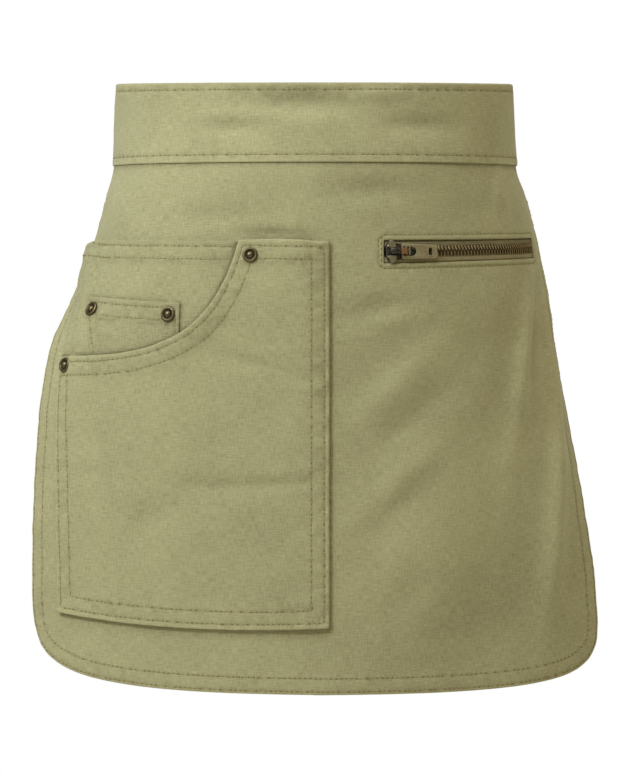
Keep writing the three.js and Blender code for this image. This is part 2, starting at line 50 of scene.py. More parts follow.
MM = 0.001

# Camera

CAMERA = Sizes(back=3.6, height=-0.1556, seen_height=0.4656, sensor=36)


def photo_camera():
    data = bpy.data.cameras.new("photo_camera")
    data.sensor_width = CAMERA.sensor
    data.lens = CAMERA.sensor * CAMERA.back / CAMERA.seen_height
    camera = bpy.data.objects.new("photo_camera", data)
    camera.location = (0, -CAMERA.back, CAMERA.height)
    camera.rotation_euler = (math.radians(90), 0, 0)
    bpy.context.collection.objects.link(camera)
    bpy.context.scene.camera = camera


photo_camera()

# Sizes in millimetres, with the counts, slopes, powers, shares and turns in degrees that belong to them

CLOTH = 1.0
GAP = 0.45
LAYER = 0.75
LAYER_GAP = 0.25
EDGE_STEP = 1.6
ROW_STEP = 1.0
CURVE_POINTS = 60
BAND = Sizes(
    top=23.8, seam=-23.3, tuck=9, play=0.45, overlap=50, lift_length=60, lift_clear=8, rows=(19.4, -19.0),
    gather=4.5, edge_wide=1.0, fold_rise=1.5, wall=0.7, outer=0.95, inner=-2.1, rim=0.25)
BAND_STEPS = Sizes(
    over_seam=(0, 0.3, 0.8, 1.6, 2.8, 3.6), over_row=(5.0, 6.2), between=(8.5, 2.6, 11),
    upper_row=(-1.2, -0.5, 0, 0.5), below_fold=0.9, fold=9, wall_below=2, walls=12, around=470, stitched=700)
# The left and right lower corners: length along the hem, height, and power of the curve.
PANEL = Sizes(half_width=185, hem=-333.7, thick=1.0, left=(360, 78.7, 5.7), right=(331, 67.9, 6.2),
              top_step=2.4, spacing=3.0)
HEM = Sizes(rows=(1.7, 9.4), reach=9.6, rise=0.35, slope=1.6, strength=0.55, inside=0.5)
POCKET = Sizes(
    right=8.6, left_top=-168, left_bottom=-160.7, top=-70.6, sink=4.0, sink_from=-130, sink_power=1.2,
    bottom=-296.3, bottom_middle=-38, bottom_curve=0.00052, mouth_slack=3.0, slack_power=1.5,
    corner_slack=4.5, corner_width=22, corner_drop=90, seam_width=18, rows=(3.2, 10.6), reach=11,
    hem_rise=0.3, hem_slope=1.8, strip=-0.1, flange=0.6, flange_right=0.25, flange_fade=90, flange_deep=3.2,
    gape=2.2, gape_deep=10, gape_right=(2, 20), gape_left=(6, 25), wrap=(0.4, 1.4), wrap_above=(1, 5),
    wrap_face=0.2, thickest=2.6, bar_gap=0.8, spacing=2.4)
BACK = Sizes(inset=2.2, lower=1.2, level_to=-38, free_from=6, side_end=2, seam_end=6, row_start=8,
             row_margin=1.5, spacing=3.2)
RIPPLE = Sizes(length=4.6, deep=20, height=0.6, start=3, clear=3)
MOUTH = ((-44, -70.4), (-58.5, -122.3), (-80, -141.7), (-168, -140))
COIN = Sizes(
    left=-149, lean=0.32, right=-79.5, top_left=-105, top_right=-107.2, bottom=-168, slack=0.4, gape=20,
    rows=(3.2, 10.4), side_rows=(2.6, 8.0), strength=0.5, thick=1.1, tuck=(0.3, 1.2), tuck_share=0.8,
    step=1.2, spacing=1.8)
OVER_COIN = Sizes(near=1, far=34, below_slope=2)
ZIP = Sizes(
    left=40.7, right=160.2, middle=-76.2, tilt=0.0125, half_left=6.7, half_right=5.9, corner=2.0,
    corner_steps=6, edge_step=1.4, row=3.0, bar=1.3, lip=0.25, lip_wide=3.0, lip_uneven=0.2, lip_length=5)
TAPE_SIZE = Sizes(
    half=14.4, end=6, gap=(2.4, 0.1), parted=2, closing=4, face=-1.6, rise=1.1, slope=(0.1, 0.6), thick=0.8,
    rib=0.1, rib_pitch=1.6, rib_wear=0.5, step=1.5, rings=(0.3, 0.8), spacing=0.8)
TOOTH = Sizes(pitch=2.3, width=1.2, deep=1.8, corner=0.35, corner_steps=2, half=2.7, rise=0.5, end=2.0,
              bright_from=-0.2, bright=0.8, dark=-1)
SLIDER = Sizes(
    at=47.6, length=12, shoulder=6.1, nose=4.6, tail=4.3, top_plate=(-0.3, 0.9), bottom_plate=(-4.6, -3.5),
    bridge=(-3.6, 5.8), bridge_half=1.7, bridge_top=3.9, bridge_thick=1.1, bridge_sunk=0.4, post_sunk=0.5,
    wing=(-0.3, 1.0), cheek=(-0.3, 0.5), tongue=(0.5, 1.1), tongue_half=2.0, tongue_from=5.4, tongue_end=9.6,
    rung=(1.0, 1.5), cap=(-0.6, 0.35), round_steps=9)
PULL = Sizes(hinge=(3.7, 0, 1.85), bar=0.55, window_end=8.7, window_half=2.7, end=22, root_half=4.7,
             end_half=4.2, slot_from=16.4, slot_to=18.6, slot_half=2.2, collar=0.8, collar_faces=(-0.1, 0.22),
             droop=6)
BAG = Sizes(
    left=36, right=163, top=-57.5, bottom=-190, front_top=-86, front_slope=6, face=-3.1, behind_zip=-5.4,
    back=-7.4, sewn=-2.7, sewn_sides=(1, 5), top_face=-1.5, top_seam=6, top_slope=5, full=14, rim=1.3,
    roll=0.6, sag=0.5, sag_size=(17, 21), wear=0.4, wear_size=9, wear_start=5, step=2.2, spacing=3.2)
RIVET = Sizes(cap=4.6, dome=1.9, seat=0.15, sides=28, on_mouth=((-37, -79), (-157, -145)),
              on_coin=((-142, -113), (-86.5, -114)))
BUTTON = Sizes(seat=0.3, cap=7.5, post=2.2, back=5, back_thick=1.2, dome=2.6, sides=40)
STITCH = Sizes(spacing=3.0, uneven=0.06, length=1.9, thick=0.26, rise=0.28, dip=0.25, sink=0.12, wear=0.5,
               hole_long=0.85, hole_wide=0.58, hole_sink=0.05)
PUCKER = Sizes(length=3.4, across=7.0, height=0.36, slant=0.35, fade=4)
GROOVE = Sizes(width=0.75, depth=0.28)
# Where the noise of the gathers along each seam starts.
SEAM_NOISE = Sizes(hem=3, front_sides=21, front_top=33, back_top=45, back_left=57, coin_top=61, coin_left=73,
                   coin_right=85)
# Edges that turn by more than this many degrees stay sharp.
SHARP = Sizes(repeated=50, hard=40)

# Shares of wear and of painted shade and highlights, which make the finish paler or darker, and the distances
# over which they fade.
# The flank shares paint shade on crease flanks that face down.
WORN_AND_SHADED = Sizes(ridge=0.07, flank=0.05, band_flank=0.16, reach=2, most=1.5, inside=0.3, inside_band=0.2)
# On the slider the wings are painted bright as reflections, and the pull's rims are painted darker as shade.
SLIDER_WEAR_AND_SHADING = Sizes(black=(0.35, -1.0), bright=(0.3, 0.5), cap=-0.2, pull=0.7)
# Along sewn rows the gathers make the cloth paler and darker in turn, folded edges are paler, and the stitch
# grooves are painted darker as shade.
SEWN = Sizes(gather=0.12, groove=0.2, edge=0.3, edge_wide=1.1, pocket_edge=0.2)
SHADOW = Sizes(
    mouth=1.2, mouth_wide=1.8, pocket=0.1, pocket_edge=0.7, pocket_edge_wide=0.8, pocket_right=0.5,
    pocket_right_at=0.3, pocket_right_wide=0.9, above_pocket=0.75, above_at=1.2, above_wide=1.6,
    above_fade=10, above_end=6, coin=0.15, coin_top=0.5, coin_top_wide=1.2, coin_side=0.9, coin_side_wide=0.9,
    coin_fold=0.35, coin_fold_below=2.1, coin_fold_wide=0.9, panel=0.15, panel_right=0.03, panel_fade=120,
    panel_wide=1.1, seam=0.45, seam_below=0.8, seam_wide=1.3, frame=0.25, slot=0.4, slot_wide=0.5, teeth=0.9,
    teeth_fade=0.8, upper_tape=0.4, row=0.18, row_below=12.5, row_wide=1.5, row_fade=6)

# Unevenness of worn cloth: height, length round the body and up the cloth, and where its noise starts.
CRUMPLE = Sizes(waves=((0.55, 34, 26, 3, 9), (0.26, 12, 10, 40, 17)), zip_clear=8, zip_fade=20)

# Level sections from the top down: height, left and right half widths, depth, and how much higher the
# back of the section is than its front.
SECTIONS = np.array([
    (26, 118.4, 118, 80, 6), (-23, 120.5, 120.2, 91.5, 2), (-45, 125.5, 126.5, 95, 5),
    (-70, 131.5, 132.6, 99, 7), (-90, 139.3, 136.8, 102, 7), (-110, 149.2, 140.4, 105, 7),
    (-130, 161.9, 143.4, 107, 7), (-160, 174, 150.6, 110.5, 7), (-195, 180.6, 160, 114, 7),
    (-230, 186.1, 170.8, 117, 7), (-270, 188.3, 183.6, 120, 7), (-336, 187, 196, 124, 7),
], dtype=float)

# Soft folds and dents: s, z, length, width, turn from level in degrees, and height.
FOLDS = (
    (146, -122, 42, 8, 68, 1.8), (160, -128, 40, 8, 92, -2.0), (121, -165, 62, 15, 76, -1.8),
    (151, -250, 45, 9, 81, 1.6), (40, -140, 40, 16, 38, -1.2), (55, -205, 45, 17, 40, 1.2),
    (75, -250, 45, 16, 42, -1.1),
)
CREASES = (
    (0, -24, 150, 26, 0, 1.2), (-6, 10.8, 30, 7.6, -1, -2.8), (-12, 1, 28, 7, 0, 1.0),
    (-48, 4.5, 20, 4.5, 0, 0.9), (-46, -2.5, 22, 4.5, 1, -1.1), (38, 17, 18, 4, 3, 1.0),
    (62, -2, 22, 5, 0, -1.5), (-58, -55, 26, 6, 0, -1.2), (122, -39, 16, 4.5, 78, 1.8),
    (129, -50, 16, 4, 85, 1.2), (33, -40, 26, 7, 0, -2.0), (37, -110, 26, 8, 10, -2.0),
    (51, -152, 32, 9, 42, 1.8), (61, -174, 28, 9, 41, -1.8), (50, -208, 38, 8, 39, 0.9),
    (50, -224, 22, 6, 42, -0.7), (76, -243, 55, 24, 47, 3.6), (60, -181, 24, 7, 42, 1.0),
    (137, -142, 45, 7, 76, 3.0), (150, -130, 38, 6, 76, -2.4), (161, -200, 75, 8, 79, 4.4),
    (-24, -66, 20, 3, -2, -2.0), (-35, -142, 28, 5, -15, -1.2), (-24, -211.5, 24, 4, 1, -1.3),
    (-58, -214, 22, 5, -6, -0.9), (-91, -230, 26, 12, 37, -1.3), (-137, -206, 16, 4, -5, -0.5),
    (100, -300, 60, 30, 47, -3.0), (53, -278, 18, 9, 44, -1.3), (44, -116, 14, 6, 11, 0.9),
)

# Plain helpers


def ease(t):
    t = np.clip(t, 0, 1)
    return t * t * (3 - 2 * t)


def mix(a, b, share):
    return a + (b - a) * share


def soft_step(distance, start, length):
    """A rise from 0 to 1 that begins at the start and takes the length."""
    return ease((distance - start) / length)


def falloff(distance, width):
    """1 on a line, fading away on both sides of it."""
    return np.exp(-(distance / width) ** 2)


LATTICE_SEED, LATTICE_SIZE = 11, 97
LATTICE = np.random.default_rng(LATTICE_SEED).uniform(-1, 1, (LATTICE_SIZE, LATTICE_SIZE))


def soft_noise(u, v):
    """Smooth values between -1 and 1 that change over about one unit."""
    i, j = np.floor(u).astype(int), np.floor(v).astype(int)
    across, up = ease(u - i), ease(v - j)
    left, right, low, high = (n % LATTICE_SIZE for n in (i, i + 1, j, j + 1))
    below = mix(LATTICE[left, low], LATTICE[right, low], across)
    above = mix(LATTICE[left, high], LATTICE[right, high], across)
    return mix(below, above, up)


def rolled(distance, radius):
    """How far a rounded edge falls away at a distance in from its rim."""
    short = np.clip(1 - distance / radius, 0, 1)
    return radius * (1 - np.sqrt(1 - short ** 2))


def spread(corners, step):
    """Points along a path through the corners, no further apart than step."""
    corners = np.asarray(corners, float)
    parts = []
    for start, end in zip(corners[:-1], corners[1:]):
        count = max(1, math.ceil(np.linalg.norm(end - start) / step))
        parts.append(start + (end - start) * np.arange(count)[:, None] / count)
    return np.concatenate([*parts, corners[-1:]])


def nearest(points, path):
    """Each point's distance to a path, and how far along the path that is."""
    start, run = path[:-1], np.diff(path, axis=0)
    length = np.linalg.norm(run, axis=1)
    before = np.concatenate([[0], np.cumsum(length)[:-1]])
    distance, along = np.empty(len(points)), np.empty(len(points))
    batch = 2000
    for low in range(0, len(points), batch):
        part = points[low:low + batch, None, :] - start
        share = np.clip((part * run).sum(-1) / length ** 2, 0, 1)
        gap = np.linalg.norm(part - share[..., None] * run, axis=-1)
        best = gap.argmin(1)
        rows = np.arange(len(best))
        distance[low:low + batch] = gap[rows, best]
        along[low:low + batch] = before[best] + share[rows, best] * length[best]
    return distance, along


def closed(loop):
    return np.vstack([loop, loop[:1]])


def beside(path, distance, is_loop=False):
    """A path moved to its left, without the points that come closer to it than the distance."""
    slack = 0.04
    tangent = np.roll(path, -1, 0) - np.roll(path, 1, 0) if is_loop else np.gradient(path, axis=0)
    tangent = tangent / np.linalg.norm(tangent, axis=1, keepdims=True)
    shifted = path + np.stack([-tangent[:, 1], tangent[:, 0]], 1) * distance
    gap, _ = nearest(shifted, closed(path) if is_loop else path)
    return shifted[gap > distance - slack]


def within(points, loop):
    """Whether each point lies inside a closed outline."""
    result = np.zeros(len(points), bool)
    (x0, z0), (x1, z1) = loop.T, np.roll(loop, -1, 0).T
    for a, b, c, d in zip(x0, z0, x1, z1):
        crosses = (b > points[:, 1]) != (d > points[:, 1])
        if crosses.any():
            at = a + (points[crosses, 1] - b) * (c - a) / (d - b)
            result[np.flatnonzero(crosses)[points[crosses, 0] < at]] ^= True
    return result


def rounded_rectangle(left, right, low, high, radius, steps=4):
    corners = [(right - radius, low + radius, -90), (right - radius, high - radius, 0),
               (left + radius, high - radius, 90), (left + radius, low + radius, 180)]
    points = []
    for x, y, start in corners:
        for angle in np.radians(np.linspace(start, start + 90, steps)):
            points.append((x + radius * math.cos(angle), y + radius * math.sin(angle)))
    return points


def box_distance(points, left, right, low, high):
    across = np.maximum(np.maximum(left - points[:, 0], points[:, 0] - right), 0)
    up = np.maximum(np.maximum(low - points[:, 1], points[:, 1] - high), 0)
    return np.hypot(across, up)


# The body that the cloth lies on


def section_values(z):
    heights = SECTIONS[:, 0]
    rows = np.arange(len(heights))
    above, below = np.maximum(rows - 1, 0), np.minimum(rows + 1, rows[-1])
    slopes = (SECTIONS[below, 1:] - SECTIONS[above, 1:]) / (heights[below] - heights[above])[:, None]
    i = np.clip(np.searchsorted(-heights, -z, side="left") - 1, 0, rows[-1] - 1)
    span = (heights[i + 1] - heights[i])[..., None]
    t = (z - heights[i])[..., None] / span
    return ((1 + 2 * t) * (1 - t) ** 2 * SECTIONS[i, 1:] + t * (1 - t) ** 2 * span * slopes[i]
            + t * t * (3 - 2 * t) * SECTIONS[i + 1, 1:] + t * t * (t - 1) * span * slopes[i + 1])


# The heights, turns in degrees and distances that the tables of the body hold.
TABLE_Z = np.arange(-345.0, 40.0, 1.0)
TABLE_TURN = np.radians(np.arange(0.0, 181.0, 1.0))
TABLE_S = np.arange(0.0, 400.0, 1.0)
LAST_TURN = 179.999


def arc_tables():
    """Distances round each level for each degree, and the angles for each millimetre round it."""
    values = section_values(TABLE_Z)
    arcs, turns = [], []
    for side in (0, 1):
        across = values[:, side:side + 1] * np.diff(np.sin(TABLE_TURN))
        along = values[:, 2:3] * np.diff(np.cos(TABLE_TURN))
        arc = np.pad(np.cumsum(np.hypot(across, along), axis=1), ((0, 0), (1, 0)))
        arcs.append(arc)
        turns.append([np.interp(TABLE_S, row, TABLE_TURN) for row in arc])
    return np.array(arcs), np.array(turns)


ARCS, TURNS = arc_tables()


def look_up(table, side, row, column):
    r = np.clip(np.floor(row).astype(int), 0, table.shape[1] - 2)
    c = np.clip(np.floor(column).astype(int), 0, table.shape[2] - 2)
    near = mix(table[side, r, c], table[side, r, c + 1], column - c)
    far = mix(table[side, r + 1, c], table[side, r + 1, c + 1], column - c)
    return mix(near, far, row - r)


def angle_at(s, z):
    return np.sign(s) * look_up(TURNS, (s >= 0).astype(int), z - TABLE_Z[0], np.abs(s))


def arc_at(angle, z):
    degrees = np.minimum(np.degrees(np.abs(angle)), LAST_TURN)
    return np.sign(angle) * look_up(ARCS, (angle >= 0).astype(int), z - TABLE_Z[0], degrees)


def fold_height(s, z, rows):
    total = np.zeros_like(s)
    for at, level, length, width, turn, height in rows:
        c, n = math.cos(math.radians(turn)), math.sin(math.radians(turn))
        along = ((s - at) * c + (z - level) * n) / length
        across = ((z - level) * c - (s - at) * n) / width
        total += height * np.exp(-along ** 2 - across ** 2)
    return total


def crease_wear_and_shading(s, z, flank_shade):
    """Ridges are painted a little paler and dents darker, partly as wear and partly as shade, and flanks that
    face down are painted darker as shade.
    """
    flank = fold_height(s, z + WORN_AND_SHADED.reach, CREASES) - fold_height(s, z - WORN_AND_SHADED.reach, CREASES)
    ridge = np.clip(fold_height(s, z, CREASES), -WORN_AND_SHADED.most, WORN_AND_SHADED.most)
    return WORN_AND_SHADED.ridge * ridge - flank_shade * np.clip(flank, -WORN_AND_SHADED.most, WORN_AND_SHADED.most)


def crumple(s, z):
    """Small unevenness of worn cloth, which dies out round the zip."""
    points = np.stack([s.ravel(), z.ravel()], 1)
    from_zip = box_distance(points, ZIP.left, ZIP.right, ZIP.middle, ZIP.middle).reshape(s.shape)
    waves = sum(height * soft_noise(s / across + u, z / up + v) for height, across, up, u, v in CRUMPLE.waves)
    return waves * soft_step(from_zip, CRUMPLE.zip_clear, CRUMPLE.zip_fade)


def body_point(angle, z, worn=True):
    values = section_values(z)
    n, c = np.sin(angle), np.cos(angle)
    a = np.where(n < 0, values[..., 0], values[..., 1])
    b = values[..., 2]
    out = np.stack([n / a, -c / b, np.zeros_like(a)], -1)
    out /= np.linalg.norm(out, axis=-1, keepdims=True)
    s = arc_at(angle, z)
    fold = fold_height(s, z, FOLDS)
    if worn:
        fold = fold + fold_height(s, z, CREASES) + crumple(s, z)
    return np.stack([a * n, -b * c, z + values[..., 3] * (1 - c) / 2], -1) + out * fold[..., None]


def body_normal(angle, z, worn=True):
    turn, rise = 0.004, 0.5
    sideways = body_point(angle + turn, z, worn) - body_point(angle - turn, z, worn)
    upwards = body_point(angle, z + rise, worn) - body_point(angle, z - rise, worn)
    normal = np.cross(sideways, upwards)
    return normal / np.linalg.norm(normal, axis=-1, keepdims=True)


def off_body(angle, z, h):
    return body_point(angle, z) + body_normal(angle, z) * h[..., None]


def lay(points, h):
    s, z = points[:, 0], points[:, 1]
    return off_body(angle_at(s, z), z, np.broadcast_to(np.asarray(h, float), s.shape))


def frame_of(across, out, origin):
    axes = np.stack([across, np.cross(out, across), out, origin], 1)
    return Matrix([*axes.tolist(), [0, 0, 0, 1]])


def frame_at(s, z):
    """A frame on the bare cloth at s, z: X round the body, Y up the cloth and Z outwards, in millimetres."""
    step = 0.5
    s, z = np.array([s - step, s, s + step], float), np.full(3, z, float)
    points = body_point(angle_at(s, z), z, worn=False)
    out = body_normal(angle_at(s, z), z, worn=False)[1]
    across = points[2] - points[0]
    across -= out * across.dot(out)
    across /= np.linalg.norm(across)
    return frame_of(across, out, points[1])


# Node helpers


def make(tree, kind, inputs=None, **settings):
    """A node with its settings, and its inputs set to values or wired from other nodes."""
    node = tree.nodes.new(kind)
    for name, value in settings.items():
        setattr(node, name, value)
    for key, value in (inputs or {}).items():
        if isinstance(value, bpy.types.NodeSocket):
            tree.links.new(value, node.inputs[key])
        else:
            node.inputs[key].default_value = value
    return node


def number(tree, operation, *values):
    return make(tree, "ShaderNodeMath", dict(enumerate(values)), operation=operation).outputs[0]


def vector(tree, operation, *values):
    return make(tree, "ShaderNodeVectorMath", dict(enumerate(values)), operation=operation)


def blend_colours(tree, share, low, high):
    node = make(tree, "ShaderNodeMix", {0: share, 6: low, 7: high}, data_type="RGBA")
    return node.outputs[2]


def shader_group(name, inputs, outputs):
    tree = bpy.data.node_groups.new(name, "ShaderNodeTree")
    for title, kind, value in inputs:
        socket = tree.interface.new_socket(title, in_out="INPUT", socket_type=kind)
        if value is not None:
            socket.default_value = value
    for title in outputs:
        tree.interface.new_socket(title, in_out="OUTPUT", socket_type="NodeSocketFloat")
    return tree, make(tree, "NodeGroupInput").outputs


# Effects that several finishes share


def weave_group():
    """Slubby yarns running both ways, with the fine rib of the weave."""
    warp, weft, lean = (0.75, 0.1, 1), (0.08, 0.75, 1), (1.6, 1.6, 0)
    tree, given = shader_group("yarn_weave", [
        ("Cloth", "NodeSocketVector", None), ("Yarn", "NodeSocketFloat", 0.0005),
        ("Rib", "NodeSocketFloat", 0.4)], ["Tone", "Height"])
    size = vector(tree, "DIVIDE", given["Cloth"], given["Yarn"]).outputs[0]
    slubs = []
    for stretch in (warp, weft):
        scaled = vector(tree, "MULTIPLY", size, stretch).outputs[0]
        slub = make(tree, "ShaderNodeTexNoise", {"Vector": scaled, "Scale": 1.0, "Detail": 1.0})
        slubs.append(number(tree, "MULTIPLY", slub.outputs["Fac"], 0.5))
    tone = number(tree, "ADD", *slubs)
    across = vector(tree, "DOT_PRODUCT", size, lean).outputs["Value"]
    rib = number(tree, "MULTIPLY", number(tree, "SINE", across), given["Rib"])
    make(tree, "NodeGroupOutput", {"Tone": tone, "Height": number(tree, "ADD", tone, rib)})
    return tree


def patina_group():
    """Broad uneven patches."""
    tree, given = shader_group("broad_patches", [
        ("Place", "NodeSocketVector", None), ("Scale", "NodeSocketFloat", 30.0)], ["Tone"])
    noise = make(tree, "ShaderNodeTexNoise", {
        "Vector": given["Place"], "Scale": given["Scale"], "Detail": 5.0, "Roughness": 0.6})
    make(tree, "NodeGroupOutput", {"Tone": noise.outputs["Fac"]})
    return tree


def shade_group():
    """One share from dark to light out of weave, patches, and wear with painted shade and highlights, with a
    half in the middle.
    """
    middle = 0.5
    tree, given = shader_group("cloth_shade", [
        ("Weave", "NodeSocketFloat", middle), ("Weave Amount", "NodeSocketFloat", 0.5),
        ("Patches", "NodeSocketFloat", middle), ("Patch Amount", "NodeSocketFloat", 0.3),
        ("Wear And Shading", "NodeSocketFloat", 0.0), ("Wear And Shading Amount", "NodeSocketFloat", 0.3)], ["Share"])
    weave = number(tree, "MULTIPLY", number(tree, "SUBTRACT", given["Weave"], middle), given["Weave Amount"])
    patches = number(tree, "SUBTRACT", given["Patches"], middle)
    patches = number(tree, "MULTIPLY", patches, given["Patch Amount"])
    wear = number(tree, "MULTIPLY", given["Wear And Shading"], given["Wear And Shading Amount"])
    total = number(tree, "ADD", number(tree, "ADD", weave, patches), number(tree, "ADD", wear, middle))
    share = number(tree, "MINIMUM", number(tree, "MAXIMUM", total, 0.0), 1.0)
    make(tree, "NodeGroupOutput", {"Share": share})
    return tree


WEAVE, PATCHES, SHADE = weave_group(), patina_group(), shade_group()


def new_material(name):
    material = bpy.data.materials.new(name)
    material.use_nodes = True
    material.node_tree.nodes.clear()
    return material, material.node_tree


def group(tree, shared, inputs):
    return make(tree, "ShaderNodeGroup", inputs, node_tree=shared).outputs


def cloth_finish(name, dark, light, yarn, weave_amount, rib, bump, sheen, wear_and_shading_amount=0.55):
    material, tree = new_material(name)
    uv = make(tree, "ShaderNodeUVMap", uv_map="cloth").outputs[0]
    place = make(tree, "ShaderNodeTexCoord").outputs["Object"]
    # The wear attribute carries painted shade and highlights as well as wear.
    wear = make(tree, "ShaderNodeAttribute", attribute_name="wear").outputs["Fac"]
    weave = group(tree, WEAVE, {"Cloth": uv, "Yarn": yarn, "Rib": rib})
    patches = group(tree, PATCHES, {"Place": place})
    share = group(tree, SHADE, {
        "Weave": weave["Tone"], "Weave Amount": weave_amount, "Patches": patches["Tone"],
        "Wear And Shading": wear, "Wear And Shading Amount": wear_and_shading_amount})["Share"]
    colour = blend_colours(tree, share, (*dark, 1), (*light, 1))
    relief = make(tree, "ShaderNodeBump", {
        "Height": weave["Height"], "Strength": bump, "Distance": yarn}).outputs[0]
    surface = make(tree, "ShaderNodeBsdfPrincipled", {
        "Base Color": colour, "Roughness": 0.92, "Specular IOR Level": 0.15, "Normal": relief,
        "Sheen Weight": sheen, "Sheen Roughness": 0.5, "Sheen Tint": (0.93, 1.0, 0.86, 1)})
    make(tree, "ShaderNodeOutputMaterial", {"Surface": surface.outputs[0]})
    return material


def metal_finish(name, dark, bright, rough, wear_and_shading_amount):
    material, tree = new_material(name)
    place = make(tree, "ShaderNodeTexCoord").outputs["Object"]
    # The wear attribute carries painted shade and highlights as well as wear.
    wear = make(tree, "ShaderNodeAttribute", attribute_name="wear").outputs["Fac"]
    patches = group(tree, PATCHES, {"Place": place, "Scale": 900})
    share = group(tree, SHADE, {
        "Patches": patches["Tone"], "Patch Amount": 0.9, "Wear And Shading": wear, "Wear And Shading Amount": wear_and_shading_amount})["Share"]
    colour = blend_colours(tree, share, (*dark, 1), (*bright, 1))
    duller, polish = 0.15, 0.3
    dull = number(tree, "SUBTRACT", rough + duller, number(tree, "MULTIPLY", share, polish))
    relief = make(tree, "ShaderNodeBump", {"Height": patches["Tone"], "Strength": 0.25, "Distance": 0.0002})
    surface = make(tree, "ShaderNodeBsdfPrincipled", {
        "Base Color": colour, "Metallic": 1.0, "Roughness": dull, "Normal": relief.outputs[0]})
    make(tree, "ShaderNodeOutputMaterial", {"Surface": surface.outputs[0]})
    return material


TWILL = cloth_finish("khaki_twill", (0.19, 0.178, 0.09), (0.60, 0.575, 0.32), yarn=0.00045,
                     weave_amount=1.05, rib=0.05, bump=0.35, sheen=0.3)
THREAD = cloth_finish("seam_thread", (0.236, 0.198, 0.09), (0.456, 0.409, 0.218), yarn=0.0002,
                      weave_amount=0.2, rib=0.1, bump=0.2, sheen=0.1)
POCKETING = cloth_finish("plain_pocketing", (0.36, 0.34, 0.22), (0.72, 0.69, 0.5), yarn=0.0004,
                         weave_amount=0.5, rib=0.1, bump=0.3, sheen=0.1)
TAPE = cloth_finish("woven_tape", (0.08, 0.066, 0.031), (0.56, 0.5, 0.28), yarn=0.0005,
                    weave_amount=0.6, rib=0.3, bump=0.5, sheen=0.05)
BRASS = metal_finish("antique_brass", (0.02, 0.015, 0.007), (0.22, 0.18, 0.10), rough=0.5, wear_and_shading_amount=0.35)
# The teeth's tops are painted bright as highlights and their sides dark as shade between the teeth.
TEETH = metal_finish("teeth_brass_wear_and_shading", (0.04, 0.029, 0.012), (0.32, 0.25, 0.13), rough=0.55,
                     wear_and_shading_amount=0.45)
# The bright colour paints the reflections on the slider's wings.
BLACKENED = metal_finish("blackened_brass", (0.009, 0.008, 0.006), (0.56, 0.56, 0.48), rough=0.38,
                         wear_and_shading_amount=0.5)
COPPER = metal_finish("worn_copper", (0.25, 0.13, 0.07), (0.62, 0.38, 0.25), rough=0.4, wear_and_shading_amount=0.4)
# The tab is paler on its faces and painted darker on its rims as shade round its outline.
TAB = metal_finish("tab_brass_wear_and_shading", (0.2, 0.18, 0.105), (0.66, 0.61, 0.42), rough=0.55, wear_and_shading_amount=0.4)

# Mesh helpers


def add_piece(name, points, faces, material, wear, cloth=None, sharp=None):
    """A smooth mesh from points in millimetres, with its wear and painted shade, and its cloth coordinates.
    """
    mesh = bpy.data.meshes.new(name)
    mesh.from_pydata((np.asarray(points) * MM).tolist(), [], faces)
    mesh.polygons.foreach_set("use_smooth", np.ones(len(mesh.polygons), bool))
    if sharp is not None:
        mesh.set_sharp_from_angle(angle=math.radians(sharp))
    if cloth is not None:
        corners = np.empty(len(mesh.loops), np.int32)
        mesh.loops.foreach_get("vertex_index", corners)
        flat = (cloth[corners] * MM).astype(np.float32).ravel()
        mesh.uv_layers.new(name="cloth").uv.foreach_set("vector", flat)
    mesh.attributes.new("wear", "FLOAT", "POINT").data.foreach_set("value", np.asarray(wear, np.float32))
    mesh.materials.append(material)
    piece = bpy.data.objects.new(name, mesh)
    bpy.context.collection.objects.link(piece)
    return piece


def ring_faces(count, rows, first=0, flipped=False):
    """Faces between rows of points, where each row goes once round a shape."""
    faces = []
    for low in range(first, first + (rows - 1) * count, count):
        high = low + count
        for n in range(count):
            m = (n + 1) % count
            others = (low + m, high + m, high + n)
            faces.append((low + n, *(others[::-1] if flipped else others)))
    return faces


def cut_pattern(loops, rings, spacing):
    """Points and triangles over a flat outline, with rows of points beside its edges. The outline runs
    anticlockwise and any openings run clockwise."""
    clear_of_loop, clear_of_rows, weld, on_rim = 1.5, 0.6 * spacing, 1e-4, 1e-3
    outline = loops[0]
    parts = list(loops)
    for loop, steps in zip(loops, rings):
        for distance in steps:
            row = beside(loop, distance, is_loop=True)
            for other in loops:
                if other is not loop:
                    row = row[nearest(row, closed(other))[0] > clear_of_loop]
            parts.append(row[within(row, outline)])
    low, high = outline.min(0), outline.max(0)
    level = spacing * math.sqrt(3) / 2
    grid = np.array([(s + spacing / 2 * (n % 2), z) for n, z in enumerate(np.arange(low[1], high[1], level))
                     for s in np.arange(low[0], high[0], spacing)])
    grid = grid[within(grid, outline)]
    for loop, steps in zip(loops, rings):
        far = nearest(grid, closed(loop))[0] > steps[-1] + clear_of_rows
        grid = grid[far & (~within(grid, loop) if loop is not outline else True)]
    points = np.concatenate([*parts, grid])
    edges, first = [], 0
    for loop in loops:
        edges += [(first + n, first + (n + 1) % len(loop)) for n in range(len(loop))]
        first += len(loop)
    flat, _, faces, *_ = delaunay_2d_cdt([Vector(p) for p in points.tolist()], edges, [], 1, weld)
    points = np.array([tuple(p) for p in flat])
    triangles = np.array(faces)
    middle = points[triangles].mean(1)
    for loop in loops[1:]:
        triangles = triangles[~within(middle, loop)]
        middle = points[triangles].mean(1)
    rim = np.zeros(len(points), bool)
    for loop in loops:
        rim |= nearest(points, closed(loop))[0] < on_rim
    return Sizes(points=points, triangles=triangles, rim=rim)


